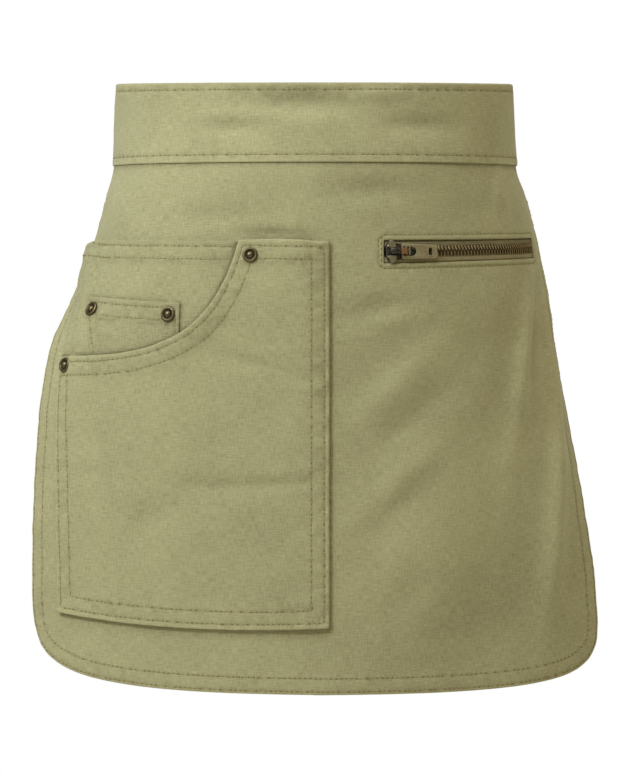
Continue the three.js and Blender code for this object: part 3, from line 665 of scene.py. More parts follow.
def sew(name, pattern, faces, material):
    """A closed layer of cloth over a pattern, with its two faces meeting along its rounded edges."""
    points, rim = pattern.points, pattern.rim
    outer, inner, wear = faces(points)
    outer = np.where(rim, (outer + inner) / 2, outer)
    under = np.arange(len(points))
    under[~rim] = len(points) + np.arange((~rim).sum())
    cloth = np.concatenate([points, points[~rim]])
    height = np.concatenate([outer, inner[~rim]])
    triangles = np.concatenate([pattern.triangles, under[pattern.triangles][:, ::-1]])
    shade = np.concatenate([wear, wear[~rim] * WORN_AND_SHADED.inside])
    return add_piece(name, lay(cloth, height), triangles.tolist(), material, shade, cloth)


def flat_area(loop):
    x, z = loop.T
    return abs(np.dot(x, np.roll(z, -1)) - np.dot(z, np.roll(x, -1))) / 2 * MM * MM


SEAM_LINES = []


def well_inside(row, outline, margin):
    slack = 0.1
    return row[within(row, outline) & (nearest(row, closed(outline))[0] > margin - slack)]


def stitch(path, faces):
    """Guide points for one row of stitches on a layer's outer face."""
    path = spread(path, ROW_STEP)
    s, z = path[:, 0], path[:, 1]
    SEAM_LINES.append((lay(path, faces(path)[0] + STITCH.sink), body_normal(angle_at(s, z), z)))


def sewing(points, edge, rows, reach, noise_start, strength=1.0):
    """Height, and wear with painted shade in the stitch grooves, that sewn rows give the cloth beside an
    edge, and each point's distance to the edge.
    """
    distance, along = nearest(points, edge)
    across = distance / PUCKER.across + noise_start
    gather = soft_noise((along + PUCKER.slant * distance) / PUCKER.length, across)
    gather *= (1 - soft_step(distance, reach, PUCKER.fade)) * strength
    groove = np.zeros(len(points))
    for row in rows:
        groove = np.maximum(groove, falloff(nearest(points, row)[0], GROOVE.width))
    height = PUCKER.height * gather - GROOVE.depth * groove
    # The stitch grooves are painted darker as shade.
    wear = SEWN.gather * gather - SEWN.groove * groove + SEWN.edge * falloff(distance, SEWN.edge_wide)
    return height, wear, distance


# Panel


def panel_hem():
    """The hem's edge, from the left side's top, round the rounded corners, to the right side's top."""
    first_turn, last_turn, count = 0.01, 89.99, 120
    turn = np.radians(np.linspace(first_turn, last_turn, count))
    corners = []
    for along, up, power in (PANEL.left, PANEL.right):
        across = PANEL.half_width - along + along * np.cos(turn) ** (2 / power)
        corner = np.stack([across, PANEL.hem + up * (1 - np.sin(turn) ** (2 / power))], 1)
        corners.append(corner[across > 0])
    left, right = corners[0] * (-1, 1), corners[1][::-1]
    top = BAND.seam + BAND.tuck
    return spread([(-PANEL.half_width, top), *left, *right, (PANEL.half_width, top)], EDGE_STEP)


def rectangle(left, right, low, high):
    return np.array([(left, low), (right, low), (right, high), (left, high), (left, low)], float)


HEM_EDGE = panel_hem()
HEM_ROWS = [beside(HEM_EDGE, distance) for distance in HEM.rows]


def zip_line(s):
    """Height of the line where the teeth meet, which rises a little to the right of the slider."""
    return ZIP.middle + ZIP.tilt * np.maximum(s - SLIDER.at, 0)


def slot_edge():
    """The zip's slot, clockwise, a little narrower at its right end."""
    radius = ZIP.corner / ZIP.half_left
    loop = np.array(rounded_rectangle(ZIP.left, ZIP.right, -1, 1, radius, ZIP.corner_steps))
    share = (loop[:, 0] - ZIP.left) / (ZIP.right - ZIP.left)
    loop[:, 1] = loop[:, 1] * mix(ZIP.half_left, ZIP.half_right, share)
    edge = spread(closed(loop)[::-1], ZIP.edge_step)[:-1]
    edge[:, 1] += zip_line(edge[:, 0])
    return edge


SLOT = slot_edge()
ZIP_FRAME = closed(beside(SLOT, ZIP.row, is_loop=True))
ZIP_BAR = np.array([(ZIP.left - ZIP.row + ZIP.bar, ZIP.middle + way * ZIP.half_left) for way in (-1, 1)])


def panel_faces(points):
    """Heights of the panel's outer and inner faces, and its wear and painted shade."""
    s, z = points.T
    height, wear, distance = sewing(points, HEM_EDGE, HEM_ROWS, HEM.reach, SEAM_NOISE.hem, HEM.strength)
    turned_in = HEM.rise * (1 - soft_step(distance, HEM.reach, HEM.slope))
    from_slot, round_slot = nearest(points, closed(SLOT))
    across = np.clip(from_slot / ZIP.lip_wide, 0, 1)
    uneven = 1 + ZIP.lip_uneven * soft_noise(round_slot / ZIP.lip_length, np.zeros_like(round_slot))
    lip = ZIP.lip * np.sqrt(1 - (2 * across - 1) ** 2) * uneven
    frame_groove = falloff(nearest(points, ZIP_FRAME)[0], GROOVE.width)
    outer = height + turned_in + lip - GROOVE.depth * frame_groove
    inner = -PANEL.thick - turned_in + HEM.inside * height
    edge = rolled(distance, PANEL.thick) + rolled(from_slot, PANEL.thick / 2)
    # The frame's groove, the slot's edge, a line under the band's seam and the pocket's edges are painted
    # darker as shade.
    wear = wear - SHADOW.frame * frame_groove - SHADOW.slot * falloff(from_slot, SHADOW.slot_wide)
    wear -= SHADOW.seam * falloff(z - BAND.seam + SHADOW.seam_below, SHADOW.seam_wide)
    to_right = soft_step(s, POCKET.left_bottom, SHADOW.panel_fade)
    under_pocket = mix(SHADOW.panel, SHADOW.panel_right, to_right)
    wear -= under_pocket * falloff(nearest(points, FRONT_SIDES)[0], SHADOW.panel_wide)
    above = falloff(z - POCKET.top - SHADOW.above_at, SHADOW.above_wide)
    above *= soft_step(s, MOUTH[0][0], SHADOW.above_fade)
    above *= soft_step(POCKET.right - s, SHADOW.above_end, SHADOW.above_fade)
    wear -= SHADOW.above_pocket * above
    beside_pocket = (z < POCKET.top) & (z > POCKET.bottom)
    at_right = falloff(s - POCKET.right - SHADOW.pocket_right_at, SHADOW.pocket_right_wide)
    wear -= SHADOW.pocket_right * beside_pocket * at_right
    return outer - edge, inner + edge, wear + crease_wear_and_shading(s, z, WORN_AND_SHADED.flank)


def panel():
    top = BAND.seam + BAND.tuck
    across = spread([(PANEL.half_width, top), (-PANEL.half_width, top)], PANEL.top_step)
    outline = np.concatenate([HEM_EDGE, across[1:-1]])
    hem_rings = (0.2, 0.5, 0.9, 1.4, 1.7, 2.1, 3.0, 4.4, 6.0, 7.6, 8.8, 9.4, 10.0, 11.0, 13.0)
    slot_rings = (0.12, 0.3, 0.6, 1.0, 1.5, 2.0, 2.4, 2.7, 3.0, 3.4, 4.2, 5.6)
    pattern = cut_pattern([outline, SLOT], [hem_rings, slot_rings], PANEL.spacing)
    for row in HEM_ROWS:
        stitch(row[row[:, 1] < BAND.seam], panel_faces)
    stitch(ZIP_FRAME, panel_faces)
    stitch(ZIP_BAR, panel_faces)
    piece = sew("panel_cloth", pattern, panel_faces, TWILL)
    return piece, flat_area(outline)


# Patch pocket


def pocket_left(z):
    return mix(POCKET.left_bottom, POCKET.left_top, (z - POCKET.bottom) / (POCKET.top - POCKET.bottom))


def pocket_top(s):
    share = np.clip((POCKET.sink_from - s) / (POCKET.sink_from - POCKET.left_top), 0, 1)
    return POCKET.top - POCKET.sink * share ** POCKET.sink_power


def pocket_bottom(s):
    return POCKET.bottom + POCKET.bottom_curve * (s - POCKET.bottom_middle) ** 2


def mouth_curve(count=80):
    t = np.linspace(0, 1, count)[:, None]
    a, b, c, d = np.array(MOUTH, float)
    return a * (1 - t) ** 3 + 3 * b * t * (1 - t) ** 2 + 3 * c * t * t * (1 - t) + d * t ** 3


def back_inner(s, z):
    up = np.clip((z - POCKET.bottom) / (POCKET.top - POCKET.bottom), 0, 1)
    from_left = s - pocket_left(z)
    seams = ease(from_left / POCKET.seam_width) * ease((POCKET.right - s) / POCKET.seam_width)
    corner = falloff(from_left, POCKET.corner_width)
    corner = corner * ease((z - POCKET.top + POCKET.corner_drop) / POCKET.corner_drop)
    mouth = POCKET.mouth_slack * up ** POCKET.slack_power * seams
    return LAYER_GAP + mouth + POCKET.corner_slack * corner


def front_inner(s, z):
    below = (COIN.bottom - z) / OVER_COIN.below_slope
    outside = np.maximum(np.maximum(COIN.left - s, s - COIN.right), below)
    over = ease((OVER_COIN.far - outside) / (OVER_COIN.far - OVER_COIN.near))
    return back_inner(s, z) + LAYER + LAYER_GAP + over * (COIN.thick + LAYER_GAP + COIN.slack)


def coin_top(s):
    return mix(COIN.top_left, COIN.top_right, (s - COIN.left) / (COIN.right - COIN.left))


def pocket_sides(inset, top_left, top_right):
    """The sewn edges of the pocket: down its left side, along the bottom and up its right side."""
    s = np.linspace(POCKET.left_bottom + inset, POCKET.right - inset, CURVE_POINTS)
    bottom = np.stack([s, pocket_bottom(s) + inset], 1)
    left = (pocket_left(top_left) + inset, top_left)
    right = (POCKET.right - inset, top_right)
    return spread([left, *bottom, right], EDGE_STEP)


MOUTH_END = MOUTH[-1][1]
FRONT_SIDES = pocket_sides(0, MOUTH_END, POCKET.top)
FRONT_TOP = spread([(POCKET.right, POCKET.top), *mouth_curve()[:-1],
                    (pocket_left(MOUTH_END), MOUTH_END)], EDGE_STEP)
FRONT_ROWS = [beside(FRONT_SIDES, d) for d in POCKET.rows] + [beside(FRONT_TOP, d) for d in POCKET.rows]


def front_faces(points):
    """Heights of the pocket front's outer and inner faces, and its wear and painted shade."""
    s, z = points.T
    by_side, side_wear, from_side = sewing(
        points, FRONT_SIDES, FRONT_ROWS[:2], POCKET.reach, SEAM_NOISE.front_sides)
    by_top, top_wear, from_top = sewing(points, FRONT_TOP, FRONT_ROWS[2:], POCKET.reach, SEAM_NOISE.front_top)
    from_bottom, from_right = z - pocket_bottom(s), POCKET.right - s
    from_edge = np.minimum(from_side, from_top)
    to_right = soft_step(s, POCKET.left_bottom, POCKET.flange_fade)
    flange = mix(POCKET.flange, POCKET.flange_right, to_right) * falloff(from_bottom, POCKET.flange_deep)
    between_rivets = soft_step(MOUTH[0][0] - s, *POCKET.gape_right)
    between_rivets = between_rivets * soft_step(s - MOUTH[3][0], *POCKET.gape_left)
    gape = POCKET.gape * falloff(from_top, POCKET.gape_deep) * between_rivets
    inner = front_inner(s, z) + flange + gape
    hemmed = POCKET.hem_rise * (1 - soft_step(from_edge, POCKET.reach, POCKET.hem_slope))
    hemmed = hemmed + POCKET.strip * np.clip(1 - from_right / POCKET.reach, 0, 1)
    ripples = soft_noise(z / RIPPLE.length, from_right / RIPPLE.deep + RIPPLE.start)
    ripples = ripples * falloff(from_right, RIPPLE.deep) * ease(from_right / RIPPLE.clear)
    outer = inner + LAYER + by_side + by_top + hemmed + RIPPLE.height * ripples
    wrap = (1 - soft_step(from_side, *POCKET.wrap)) * soft_step(from_bottom, *POCKET.wrap_above)
    inner = mix(inner, POCKET.wrap_face, wrap)
    thick = np.minimum(outer - inner, POCKET.thickest)
    edge = rolled(from_edge, thick / 2)
    wear = np.minimum(side_wear, top_wear) + SEWN.pocket_edge * falloff(from_edge, SEWN.edge_wide)
    # The pocket's right edge and a line below its top rows are painted darker as shade.
    wear -= SHADOW.pocket_edge * falloff(from_right, SHADOW.pocket_edge_wide)
    below_top = falloff(POCKET.top - z - SHADOW.row_below, SHADOW.row_wide)
    wear -= SHADOW.row * below_top * soft_step(s, MOUTH[0][0], SHADOW.row_fade)
    return outer - edge, inner + edge, wear + crease_wear_and_shading(s, z, WORN_AND_SHADED.flank)


EDGE_RINGS = (0.2, 0.5, 0.9, 1.5, 2.2, 2.8, 3.2, 3.6, 4.4, 5.8, 7.4, 9.0, 10.0, 10.6, 11.2, 12.4)


def pocket_front():
    outline = np.concatenate([FRONT_SIDES[:-1], FRONT_TOP[:-1]])
    pattern = cut_pattern([outline], [EDGE_RINGS], POCKET.spacing)
    for row in FRONT_ROWS:
        stitch(well_inside(row, outline, POCKET.rows[0]), front_faces)
    bar_from, bar_to = (POCKET.right - d for d in POCKET.rows[::-1])
    bar_level = POCKET.top - POCKET.rows[0]
    for level in (bar_level, bar_level - POCKET.bar_gap):
        stitch(np.array([(bar_from, level), (bar_to, level)]), front_faces)
    return sew("pocket_front_cloth", pattern, front_faces, TWILL), flat_area(outline)


BACK_LEVEL = POCKET.top - BACK.lower
BACK_FREE = np.linspace(MOUTH[0][0] - BACK.free_from, POCKET.left_top, CURVE_POINTS)
BACK_TOP = spread([(POCKET.right - BACK.inset, BACK_LEVEL), (BACK.level_to, BACK_LEVEL),
                   *((s, pocket_top(s)) for s in BACK_FREE)], EDGE_STEP)
BACK_LEFT = spread([(POCKET.left_top, POCKET.top - POCKET.sink),
                    (pocket_left(MOUTH_END), MOUTH_END - BACK.side_end)], EDGE_STEP)
BACK_SIDES = pocket_sides(BACK.inset, MOUTH_END - BACK.seam_end, BACK_LEVEL)
BACK_ROWS = [beside(BACK_TOP, d) for d in POCKET.rows] + [beside(BACK_LEFT, d) for d in POCKET.rows]


def back_faces(points):
    """Heights of the pocket back's outer and inner faces, and its wear and painted shade."""
    s, z = points.T
    by_top, top_wear, from_top = sewing(points, BACK_TOP, BACK_ROWS[:2], POCKET.reach, SEAM_NOISE.back_top)
    by_left, left_wear, from_left = sewing(
        points, BACK_LEFT, BACK_ROWS[2:], POCKET.reach, SEAM_NOISE.back_left)
    inner = back_inner(s, z)
    from_edge = np.minimum(np.minimum(from_top, from_left), nearest(points, BACK_SIDES)[0])
    edge = rolled(from_edge, LAYER / 2)
    # Painted shade over the whole back, along the mouth, below the top rows, and at the coin pocket's top and
    # right edge.
    shade = SHADOW.pocket + SHADOW.mouth * falloff(nearest(points, FRONT_TOP)[0], SHADOW.mouth_wide)
    shade += SHADOW.row * falloff(from_top - SHADOW.row_below, SHADOW.row_wide)
    shade += SHADOW.coin_top * falloff(nearest(points, COIN_TOP)[0], SHADOW.coin_top_wide)
    shade += SHADOW.coin_side * falloff(nearest(points, COIN_RIGHT)[0], SHADOW.coin_side_wide)
    return inner + LAYER + by_top + by_left - edge, inner + edge, np.minimum(top_wear, left_wear) - shade


def pocket_back():
    outline = np.concatenate([BACK_LEFT[:-1], BACK_SIDES[:-1], BACK_TOP[:-1]])
    pattern = cut_pattern([outline], [EDGE_RINGS], BACK.spacing)
    for distance in POCKET.rows:
        level = POCKET.top - distance
        row = spread([(MOUTH[0][0] + BACK.row_start, level), (POCKET.left_top, level)], ROW_STEP)
        stitch(well_inside(row, outline, BACK.row_margin), back_faces)
    return sew("pocket_back_cloth", pattern, back_faces, TWILL), flat_area(outline)


COIN_TOP = spread([(COIN.right, COIN.top_right), (COIN.left, COIN.top_left)], COIN.step)
COIN_LOW_LEFT = (COIN.left + COIN.lean * (COIN.top_left - COIN.bottom), COIN.bottom)
COIN_LEFT = spread([(COIN.left, COIN.top_left), COIN_LOW_LEFT], COIN.step)
COIN_RIGHT = spread([(COIN.right, COIN.bottom), (COIN.right, COIN.top_right)], COIN.step)
COIN_ROWS = ([beside(COIN_TOP, d) for d in COIN.rows]
             + [beside(path, d) for path in (COIN_LEFT, COIN_RIGHT) for d in COIN.side_rows])


def coin_faces(points):
    """Heights of the coin pocket's outer and inner faces, and its wear and painted shade."""
    s, z = points.T
    gape = COIN.slack * ease((z - coin_top(s) + COIN.gape) / COIN.gape)
    inner = back_inner(s, z) + LAYER + LAYER_GAP + gape
    by_top, top_wear, from_top = sewing(points, COIN_TOP, COIN_ROWS[:2], POCKET.reach, SEAM_NOISE.coin_top)
    by_left, left_wear, from_left = sewing(
        points, COIN_LEFT, COIN_ROWS[2:4], COIN.side_rows[1], SEAM_NOISE.coin_left, COIN.strength)
    by_right, right_wear, from_right = sewing(
        points, COIN_RIGHT, COIN_ROWS[4:], COIN.side_rows[1], SEAM_NOISE.coin_right, COIN.strength)
    from_side = np.minimum(np.minimum(from_left, from_right), z - COIN.bottom)
    inner = inner - (1 - soft_step(from_side, *COIN.tuck)) * (LAYER_GAP + gape) * COIN.tuck_share
    edge = rolled(np.minimum(from_top, from_side), COIN.thick / 2)
    wear = np.minimum(top_wear, np.minimum(left_wear, right_wear))
    # Painted shade over the whole coin pocket, in a fold below its rows, and along the mouth.
    below_rows = from_top - COIN.rows[1] - SHADOW.coin_fold_below
    wear -= SHADOW.coin + SHADOW.coin_fold * falloff(below_rows, SHADOW.coin_fold_wide)
    wear -= SHADOW.mouth * falloff(nearest(points, FRONT_TOP)[0], SHADOW.mouth_wide)
    return inner + COIN.thick + by_top + by_left + by_right - edge, inner + edge, wear


def coin_pocket():
    bottom = spread([COIN_LOW_LEFT, (COIN.right, COIN.bottom)], COIN.step)
    outline = np.concatenate([COIN_LEFT[:-1], bottom[:-1], COIN_RIGHT[:-1], COIN_TOP[:-1]])
    pattern = cut_pattern([outline], [EDGE_RINGS[:-1]], COIN.spacing)
    for row in COIN_ROWS:
        stitch(well_inside(row, outline, COIN.side_rows[0]), coin_faces)
    return sew("coin_pocket_cloth", pattern, coin_faces, TWILL), flat_area(outline)


# Waistband


def band_section():
    """The band's folded section as a closed line of height and face, with each point's share of relief."""
    seam, (upper_row, lower_row) = BAND.seam, BAND.rows
    fold_from = BAND.top - BAND.fold_rise
    above, below, between = BAND_STEPS.between
    steps = [seam + step for step in BAND_STEPS.over_seam] + [lower_row]
    steps += [seam + step for step in BAND_STEPS.over_row]
    steps += [*np.linspace(seam + above, upper_row - below, between)]
    steps += [upper_row + step for step in BAND_STEPS.upper_row] + [fold_from - BAND_STEPS.below_fold]
    out, inn, wall = BAND.outer, BAND.inner, BAND.wall
    turn = np.radians(np.linspace(0, 180, BAND_STEPS.fold))
    centre, half = (out + inn) / 2, (out - inn) / 2
    fold = [(fold_from + BAND.fold_rise * math.sin(t), centre + half * math.cos(t)) for t in turn]
    inside_rise, inside_half = BAND.fold_rise - wall, half - wall
    inside = [(fold_from + inside_rise * math.sin(t), centre + inside_half * math.cos(t)) for t in turn[::-2]]
    walls = np.linspace(fold_from - BAND_STEPS.wall_below, seam, BAND_STEPS.walls)
    rows = [(z, out, 1) for z in steps] + [(z, h, 0) for z, h in fold] + [(z, inn, 0.5) for z in walls]
    rows += [(z, inn + wall, 0) for z in walls[::-1]]
    rows += [(z, h, 0) for z, h in inside] + [(z, out - wall, 0) for z in walls]
    rows += [(seam - BAND.rim, out - wall / 2, 0)]
    return np.array(rows)


# Turns round the band are in radians.
BAND_ROUND = float(arc_at(np.array(math.pi - 1e-6), np.array(0.0)))
PER_LENGTH = math.pi / BAND_ROUND
BAND_END = math.pi + BAND.overlap / 2 * PER_LENGTH
STITCH_MARGIN = 0.02


def band_lift(angle):
    thickness = 3 * CLOTH + 2 * BAND.play
    lifted = math.pi - (BAND.overlap / 2 + BAND.lift_clear) * PER_LENGTH
    return (thickness + 2 * GAP) * ease(1 - (lifted - angle) / (BAND.lift_length * PER_LENGTH))


def band_relief(angle, z):
    """Height of the band's outer face, and its wear with painted shade in the stitch grooves and on its
    creases.
    """
    s = angle / PER_LENGTH
    height, wear = np.zeros_like(s), np.zeros_like(s)
    for row, edge in zip(BAND.rows, (BAND.top, BAND.seam)):
        gather = soft_noise((s + PUCKER.slant * z) / PUCKER.length, z / PUCKER.across + row)
        gather = gather * falloff(z - row, BAND.gather)
        groove = falloff(z - row, GROOVE.width)
        height += PUCKER.height * gather - GROOVE.depth * groove
        wear += SEWN.gather * gather - SEWN.groove * groove + SEWN.edge * falloff(z - edge, BAND.edge_wide)
    edge = rolled(np.maximum(z - BAND.seam, 0), BAND.wall / 2)
    return height - edge, wear + crease_wear_and_shading(arc_at(angle, z), z, WORN_AND_SHADED.band_flank)


def waistband():
    section = band_section()
    angles = np.linspace(-BAND_END, BAND_END, BAND_STEPS.around)
    angle, row = np.meshgrid(angles, np.arange(len(section)), indexing="ij")
    z, h, relief = section[row].transpose(2, 0, 1)
    height, wear = band_relief(angle, z)
    wear = wear * np.where(relief == 1, 1, WORN_AND_SHADED.inside_band)
    points = off_body(angle, z, h + band_lift(angle) + relief * height)
    around = np.concatenate([[0], np.cumsum(np.hypot(*np.diff(section[:, :2], axis=0).T))])
    cloth = np.stack([angle / PER_LENGTH, np.broadcast_to(around, angle.shape)], -1)
    count, last = len(section), (len(angles) - 1) * len(section)
    quads = ring_faces(count, len(angles), flipped=True)
    ends = tessellate_polygon([[Vector((z, h, 0)) for z, h, _ in section]])
    caps = [tuple(t) for t in ends] + [tuple(last + n for n in t[::-1]) for t in ends]
    piece = add_piece("waistband_cloth", points.reshape(-1, 3), quads + caps, TWILL, wear.ravel(),
                      cloth.reshape(-1, 2))
    end = BAND_END - STITCH_MARGIN
    for level in BAND.rows:
        turn = np.linspace(-end, end, BAND_STEPS.stitched)
        level = np.full_like(turn, level)
        lifted = BAND.outer + band_lift(turn) + band_relief(turn, level)[0] + STITCH.sink
        SEAM_LINES.append((off_body(turn, level, lifted), body_normal(turn, level)))
    return piece


# Pouch behind the zip


def bag_faces(points):
    """Heights of the pouch's front and back, and its wear."""
    s, z = points.T
    from_side = np.minimum(s - BAG.left, BAG.right - s)
    edge = np.minimum(from_side, np.minimum(z - BAG.bottom, BAG.top - z))
    full = ease(edge / BAG.full)
    front = mix(BAG.behind_zip, BAG.face, ease((BAG.front_top - z) / BAG.front_slope))
    front = mix(front, BAG.top_face, soft_step(z, BAG.top - BAG.top_seam, BAG.top_slope))
    by_side = 1 - soft_step(from_side, *BAG.sewn_sides)
    front = mix(front, np.maximum(front, BAG.sewn), by_side)
    across, up = BAG.sag_size
    sag = BAG.sag * soft_noise(s / across, z / up) * full
    back = mix(front - BAG.rim, BAG.back + sag, full)
    wear = BAG.wear * soft_noise(s / BAG.wear_size + BAG.wear_start, z / BAG.wear_size) * full
    fall = rolled(edge, np.minimum((front - back) / 2, BAG.roll))
    return front - fall, back + fall, wear


def zip_pouch():
    outline = spread(rectangle(BAG.left, BAG.right, BAG.bottom, BAG.top), BAG.step)[:-1]
    rings = (0.2, 0.5, 1.0, 2.0, 3.5, 5.5, 8)
    pattern = cut_pattern([outline], [rings], BAG.spacing)
    return sew("zip_pouch_cloth", pattern, bag_faces, POCKETING), flat_area(outline)


# Zip tapes


def tape_faces(points):
    """Heights of a zip tape's outer and inner faces, and its wear and painted shade."""
    s, z = points.T
    from_teeth = np.abs(z - zip_line(s))
    ribs = TAPE_SIZE.rib * np.sin(from_teeth * 2 * math.pi / TAPE_SIZE.rib_pitch)
    in_slot = np.where(within(points, SLOT), nearest(points, closed(SLOT))[0], 0)
    face = TAPE_SIZE.face + TAPE_SIZE.rise * soft_step(in_slot, *TAPE_SIZE.slope)
    # The tape is painted darker as shade under the teeth, and over the upper tape under the slot's upper lip.
    under_teeth = 1 - soft_step(from_teeth, TOOTH.half, SHADOW.teeth_fade)
    shade = np.where(z < zip_line(s), 0.0, SHADOW.upper_tape) + SHADOW.teeth * under_teeth
    return face + ribs, face - TAPE_SIZE.thick, TAPE_SIZE.rib_wear * ribs - shade


def zip_tape(name, way):
    left, right = ZIP.left - TAPE_SIZE.end, ZIP.right + TAPE_SIZE.end
    open_gap, shut_gap = TAPE_SIZE.gap
    parted = SLIDER.at + SLIDER.length / 2 + TAPE_SIZE.parted
    corners = [(left, open_gap), (parted, open_gap), (parted + TAPE_SIZE.closing, shut_gap),
               (right, shut_gap), (right, TAPE_SIZE.half), (left, TAPE_SIZE.half), (left, open_gap)]
    outline = spread([(s, way * d) for s, d in corners][::way], TAPE_SIZE.step)[:-1]
    outline[:, 1] += zip_line(outline[:, 0])
    pattern = cut_pattern([outline], [TAPE_SIZE.rings], TAPE_SIZE.spacing)
    return sew(name, pattern, tape_faces, TAPE), flat_area(outline)


# Hard shapes: points, faces, and wear with painted highlights and shade on some, in millimetres


def joined(*shapes):
    points, faces, wear = [], [], []
    for more, corners, worn in shapes:
        first = sum(len(p) for p in points)
        faces += [tuple(first + n for n in face) for face in corners]
        points.append(np.asarray(more, float))
        wear.append(np.asarray(worn, float))
    return np.concatenate(points), faces, np.concatenate(wear)


def moved(shape, matrix):
    points, faces, wear = shape
    turn, shift = np.array(matrix.to_3x3()), np.array(matrix.translation)
    return points @ turn.T + shift, faces, wear


def turned(profile, sides, wear):
    """A shape turned about Z from a profile of radius and height that starts and ends on the axis."""
    points, faces, worn = [(0, 0, profile[0][1])], [], [wear[0]]
    for (radius, height), value in zip(profile[1:-1], wear[1:-1]):
        for n in range(sides):
            angle = 2 * math.pi * n / sides
            points.append((radius * math.cos(angle), radius * math.sin(angle), height))
            worn.append(value)
    points.append((0, 0, profile[-1][1]))
    worn.append(wear[-1])
    rows, last = len(profile) - 2, len(points) - 1
    for n in range(sides):
        m = (n + 1) % sides
        faces.append((0, 1 + m, 1 + n))
        for row in range(rows - 1):
            low, high = 1 + row * sides, 1 + (row + 1) * sides
            faces.append((low + n, low + m, high + m, high + n))
        faces.append((1 + (rows - 1) * sides + n, 1 + (rows - 1) * sides + m, last))
    return np.array(points), faces, np.array(worn)


def inset(loop, distance):
    """A closed outline with its corners moved in along their bisectors."""
    sharpest = 0.5
    ahead, behind = np.roll(loop, -1, 0) - loop, loop - np.roll(loop, 1, 0)
    ahead /= np.linalg.norm(ahead, axis=1, keepdims=True)
    behind /= np.linalg.norm(behind, axis=1, keepdims=True)
    left = np.stack([-(ahead + behind)[:, 1], (ahead + behind)[:, 0]], 1)
    left /= np.linalg.norm(left, axis=1, keepdims=True)
    inwards = np.stack([-ahead[:, 1], ahead[:, 0]], 1)
    scale = 1 / np.maximum(inwards[:, None] @ left[..., None], sharpest)[:, 0]
    return loop + left * scale * distance


def slab(outline, low, high, bevel, holes=()):
    """A flat outline made solid between two heights, with rounded rims. The outline runs anticlockwise."""
    loops = [np.asarray(outline, float)] + [np.asarray(hole, float)[::-1] for hole in holes]
    face_wear, rim_wear, side_wear, rim = 0.6, 1, 0.8, 0.3 * bevel
    levels = [(bevel, low, face_wear), (rim, low + rim, rim_wear), (0, low + bevel, side_wear),
              (0, high - bevel, side_wear), (rim, high - rim, rim_wear), (bevel, high, face_wear)]
    points, faces, wear, starts = [], [], [], []
    for loop in loops:
        first = len(points)
        starts.append(first)
        for distance, height, worn in levels:
            for x, y in inset(loop, distance):
                points.append((x, y, height))
                wear.append(worn)
        faces += ring_faces(len(loop), len(levels), first)
    rims = [inset(loop, bevel) for loop in loops]
    order = [(start, len(loop)) for start, loop in zip(starts, loops)]
    flat = [[Vector((x, y, 0)) for x, y in corners] for corners in rims]
    lookup = [(start, n, size) for start, size in order for n in range(size)]
    for triangle in tessellate_polygon(flat):
        corners = [lookup[k] for k in triangle]
        lower = [start + n for start, n, size in corners]
        upper = [start + (len(levels) - 1) * size + n for start, n, size in corners]
        (ax, ay), (bx, by), (cx, cy) = [points[k][:2] for k in lower]
        turn = (bx - ax) * (cy - ay) - (by - ay) * (cx - ax)
        faces.append(tuple(lower[::-1] if turn > 0 else lower))
        faces.append(tuple(upper if turn > 0 else upper[::-1]))
    return np.array(points), faces, np.array(wear)


# Repeated forms: one tree sets a form along guide lines, another sets it at points


def forms_tree(name, along_lines):
    tree = bpy.data.node_groups.new(name, "GeometryNodeTree")
    for title, kind in (("Guides", "NodeSocketGeometry"), ("Form", "NodeSocketObject"),
                        ("Spacing", "NodeSocketFloat"), ("Unevenness", "NodeSocketFloat"),
                        ("Seed", "NodeSocketInt"), ("Finish", "NodeSocketMaterial")):
        tree.interface.new_socket(title, in_out="INPUT", socket_type=kind)
    tree.interface.new_socket("Pieces", in_out="OUTPUT", socket_type="NodeSocketGeometry")
    given = make(tree, "NodeGroupInput").outputs
    facing, run = (make(tree, "GeometryNodeInputNamedAttribute", {"Name": title},
                        data_type="FLOAT_VECTOR").outputs[0] for title in ("facing", "run"))
    guides = given["Guides"]
    if along_lines:
        lines = make(tree, "GeometryNodeMeshToCurve", {"Mesh": guides}).outputs[0]
        guides = make(tree, "GeometryNodeResampleCurve", {"Curve": lines, "Length": given["Spacing"]},
                      mode="LENGTH").outputs[0]
        run = make(tree, "GeometryNodeInputTangent").outputs[0]
    along = make(tree, "FunctionNodeAlignRotationToVector", {"Vector": run}, axis="X").outputs[0]
    upright = make(tree, "FunctionNodeAlignRotationToVector", {"Rotation": along, "Vector": facing},
                   axis="Z", pivot_axis="X").outputs[0]
    least = number(tree, "SUBTRACT", 1.0, given["Unevenness"])
    most = number(tree, "ADD", 1.0, given["Unevenness"])
    size = make(tree, "FunctionNodeRandomValue", {2: least, 3: most, "Seed": given["Seed"]},
                data_type="FLOAT").outputs[1]
    form = make(tree, "GeometryNodeObjectInfo", {"Object": given["Form"]}, transform_space="ORIGINAL")
    placed = make(tree, "GeometryNodeInstanceOnPoints", {
        "Points": guides, "Instance": form.outputs["Geometry"], "Rotation": upright, "Scale": size})
    solid = make(tree, "GeometryNodeRealizeInstances", {"Geometry": placed.outputs[0]})
    finished = make(tree, "GeometryNodeSetMaterial", {
        "Geometry": solid.outputs[0], "Material": given["Finish"]})
    make(tree, "NodeGroupOutput", {"Pieces": finished.outputs[0]})
    return tree


ALONG_LINES = forms_tree("forms_along_lines", True)
AT_POINTS = forms_tree("forms_at_points", False)


